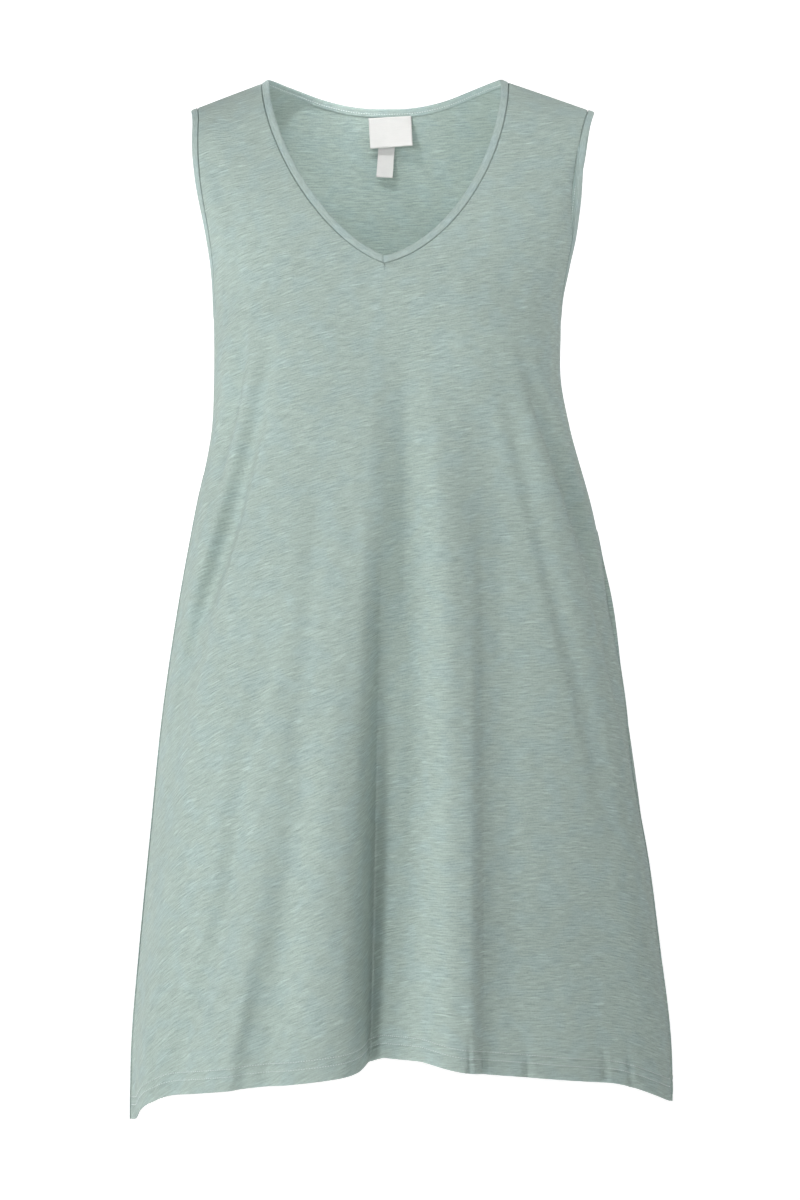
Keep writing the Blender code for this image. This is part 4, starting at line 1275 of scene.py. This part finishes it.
def woven_ribbon():
    """The bare labels: a tight white satin weave of uneven yarn."""
    material, nodes, shader = new_material("woven label")
    place = nodes.cloth_place()
    u, v = nodes.split(place)
    weft, warp = nodes.wave(v, LABEL_WEFT), nodes.wave(u, LABEL_WARP)
    weave = nodes.plus(nodes.math("MULTIPLY", weft, warp), LABEL_CROSSING, weft)
    yarn_u, yarn_v = (nodes.math("MULTIPLY", way, waves) for way, waves in zip((u, v), YARN_WAVES))
    yarn = nodes.noise(nodes.place(yarn_u, yarn_v), detail=2.0)
    soft = nodes.noise(nodes.scaled(place, SOFT_WAVES), detail=2.0)
    # Painted shade of the weave: darker in its dips, lighter on its crossings.
    tone = nodes.plus(weave, LABEL_TONE["weave"], LABEL_TONE["middle"])
    tone = nodes.plus(nodes.centred(yarn), LABEL_TONE["yarn"], tone)
    tone = nodes.plus(nodes.centred(soft), LABEL_TONE["soft"], tone)
    colour = nodes.scaled(LABEL_WHITE, tone)
    height = nodes.plus(yarn, LABEL_RISE["yarn"], nodes.math("MULTIPLY", weave, LABEL_RISE["weave"]))
    nodes.fill(shader, {
        "Base Color": colour,
        "Normal": nodes.relief(height, LABEL_RELIEF),
        "Roughness": 0.55,
        "Sheen Weight": 0.15,
    })
    return material


def backdrop_paper():
    """Matt white paper, clear where it is seen from its back."""
    material, nodes, shader = new_material("paper")
    grain = nodes.noise(nodes.add("ShaderNodeTexCoord").outputs["Object"], detail=3.0)
    tone = nodes.plus(grain, PAPER_GRAIN, PAPER)
    nodes.fill(shader, {
        "Base Color": nodes.add("ShaderNodeCombineColor", (tone, tone, tone)).outputs[0],
        "Roughness": 0.9,
        "Emission Color": (1.0, 1.0, 1.0, 1.0),
        "Emission Strength": PAPER_GLOW,
    })
    behind = nodes.add("ShaderNodeNewGeometry").outputs["Backfacing"]
    clear = nodes.add("ShaderNodeBsdfTransparent").outputs[0]
    either = nodes.add("ShaderNodeMixShader", (behind, shader.outputs[0], clear))
    nodes.fill(nodes.tree.nodes["Material Output"], {"Surface": either.outputs[0]})
    return material


# ==== the garment
def dress(piece, material, slot, *nodes):
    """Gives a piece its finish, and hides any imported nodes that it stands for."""
    piece.data.materials.append(material)
    if nodes:
        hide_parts(*nodes)


def build_garment():
    knit = slub_knit_group()
    jersey = knitted("slub jersey", knit, JERSEY, JERSEY_RELIEF, sheen=0.10)
    level_jersey = knitted("slub jersey, level", knit, JERSEY, JERSEY_RELIEF, sheen=0.10,
                           Slant=-0.04, Slant_Change=0.2)
    binding = knitted("folded jersey", knit, BINDING_JERSEY, BINDING_RELIEF, sheen=0.12, Streaks=0.55,
                      Streak_Length=0.006, Streak_Spacing=0.0016, Slant=0.0, Slant_Change=0.0)
    thread = sewing_thread()
    ribbon = woven_ribbon()

    front, left, right, front_body = front_cloth()
    back, top, back_body = back_cloth()
    front_piece, back_piece = front.shell("front_cloth"), back.shell("back_cloth")
    dress(front_piece, jersey, "jersey", "front_panel")
    dress(back_piece, level_jersey, "jersey", "back_panel")

    neck = neck_edge(front, left, right, back, top)
    neck_strip = neck.sweep("neck_strip", strip_section(NECK_BINDING))
    dress(neck_strip, binding, "binding", "neck_binding")
    sewn = [inside_line(neck, NECK_BINDING)]
    for side, yoke in (("left", left), ("right", right)):
        armhole = armhole_edge(side, front, yoke, front_body, back, top, back_body)
        strip = armhole.sweep("armhole_strip_" + side, strip_section(ARMHOLE_BINDING))
        dress(strip, binding, "binding", "armhole_binding_" + side)
        sewn.append(inside_line(armhole, ARMHOLE_BINDING))
        for title, edge in (("side", side_seam_edge(side, back, back_body)),
                            ("shoulder", shoulder_edge(side, back, top))):
            dress(edge.sweep(title + "_allowance_" + side, ALLOWANCE_SECTION), binding, "jersey")

    dress(stitches("binding_stitches", sewn), thread, "binding")
    hem_stitches = {}
    for title, cloth, body in (("front", front, front_body), ("back", back, back_body)):
        hem_stitches[title] = stitches(title + "_hem_stitches", hem_lines(cloth, body))
        dress(hem_stitches[title], thread, "jersey")

    for name, form, cad in (("label", LABEL, "neck_label"), ("tab", TAB, "size_tab")):
        piece = hanging_label(name, form)
        dress(piece, ribbon, "label", cad)


# ==== camera, light and stage
def add_object(name, data):
    made = bpy.data.objects.new(name, data)
    bpy.context.scene.collection.objects.link(made)
    return made


def set_camera():
    data = bpy.data.cameras.new("camera")
    data.lens = data.sensor_width * VIEW_DISTANCE / VIEW_HEIGHT
    camera = add_object("camera", data)
    camera.location = (VIEW_CENTRE[0], -VIEW_DISTANCE, VIEW_CENTRE[1])
    camera.rotation_euler = (math.radians(90), 0.0, 0.0)
    bpy.context.scene.camera = camera


def add_light(name, place, aim, breadth, power, beam=180):
    data = bpy.data.lights.new(name, "AREA")
    data.shape = "DISK"
    data.size = breadth
    data.energy = power
    data.spread = math.radians(beam)
    lamp = add_object(name, data)
    lamp.location = place
    lamp.rotation_euler = (Vector(aim) - Vector(place)).to_track_quat("-Z", "Y").to_euler()
    lamp.visible_camera = False


def set_lights():
    for name, light in LIGHTS.items():
        turn, height = math.radians(light["turn"]), math.radians(light["height"])
        level = Vector((math.sin(turn), -math.cos(turn), 0.0)) * math.cos(height)
        place = LIGHT_AIM + light["distance"] * (level + Vector((0.0, 0.0, math.sin(height))))
        add_light(name, place, LIGHT_AIM, light["breadth"], light["power"])
    for name, light in INSIDE_LIGHTS.items():
        add_light("inside " + name, **light)
    world = bpy.data.worlds.new("studio")
    world.use_nodes = True
    background = world.node_tree.nodes["Background"]
    nodes = Nodes(world.node_tree)
    seen = nodes.add("ShaderNodeLightPath").outputs["Is Camera Ray"]
    nodes.fill(background, {"Color": (1.0, 1.0, 1.0, 1.0), "Strength": nodes.plus(seen, 1 - SKY, SKY)})
    bpy.context.scene.world = world
    bpy.context.scene.view_settings.view_transform = "Standard"


def set_backdrop():
    """A pale floor that curves up behind the garment."""
    line = [(BACKDROP["front"], FLOOR_HEIGHT)]
    radius = BACKDROP["radius"]
    for angle in np.linspace(0.0, math.pi / 2, BACKDROP["steps"] + 1):
        line.append((BACKDROP["distance"] - radius + radius * math.sin(angle),
                     FLOOR_HEIGHT + radius * (1 - math.cos(angle))))
    line.append((BACKDROP["distance"], BACKDROP["top"]))
    wide = BACKDROP["half_width"]
    points = [(x, y, z) for y, z in line for x in (-wide, wide)]
    faces = [(2 * row, 2 * row + 1, 2 * row + 3, 2 * row + 2) for row in range(len(line) - 1)]
    mesh = bpy.data.meshes.new("floor")
    mesh.from_pydata(points, [], faces)
    mesh.shade_smooth()
    mesh.materials.append(backdrop_paper())
    add_object("floor", mesh)


build_garment()
set_camera()
set_lights()
set_backdrop()
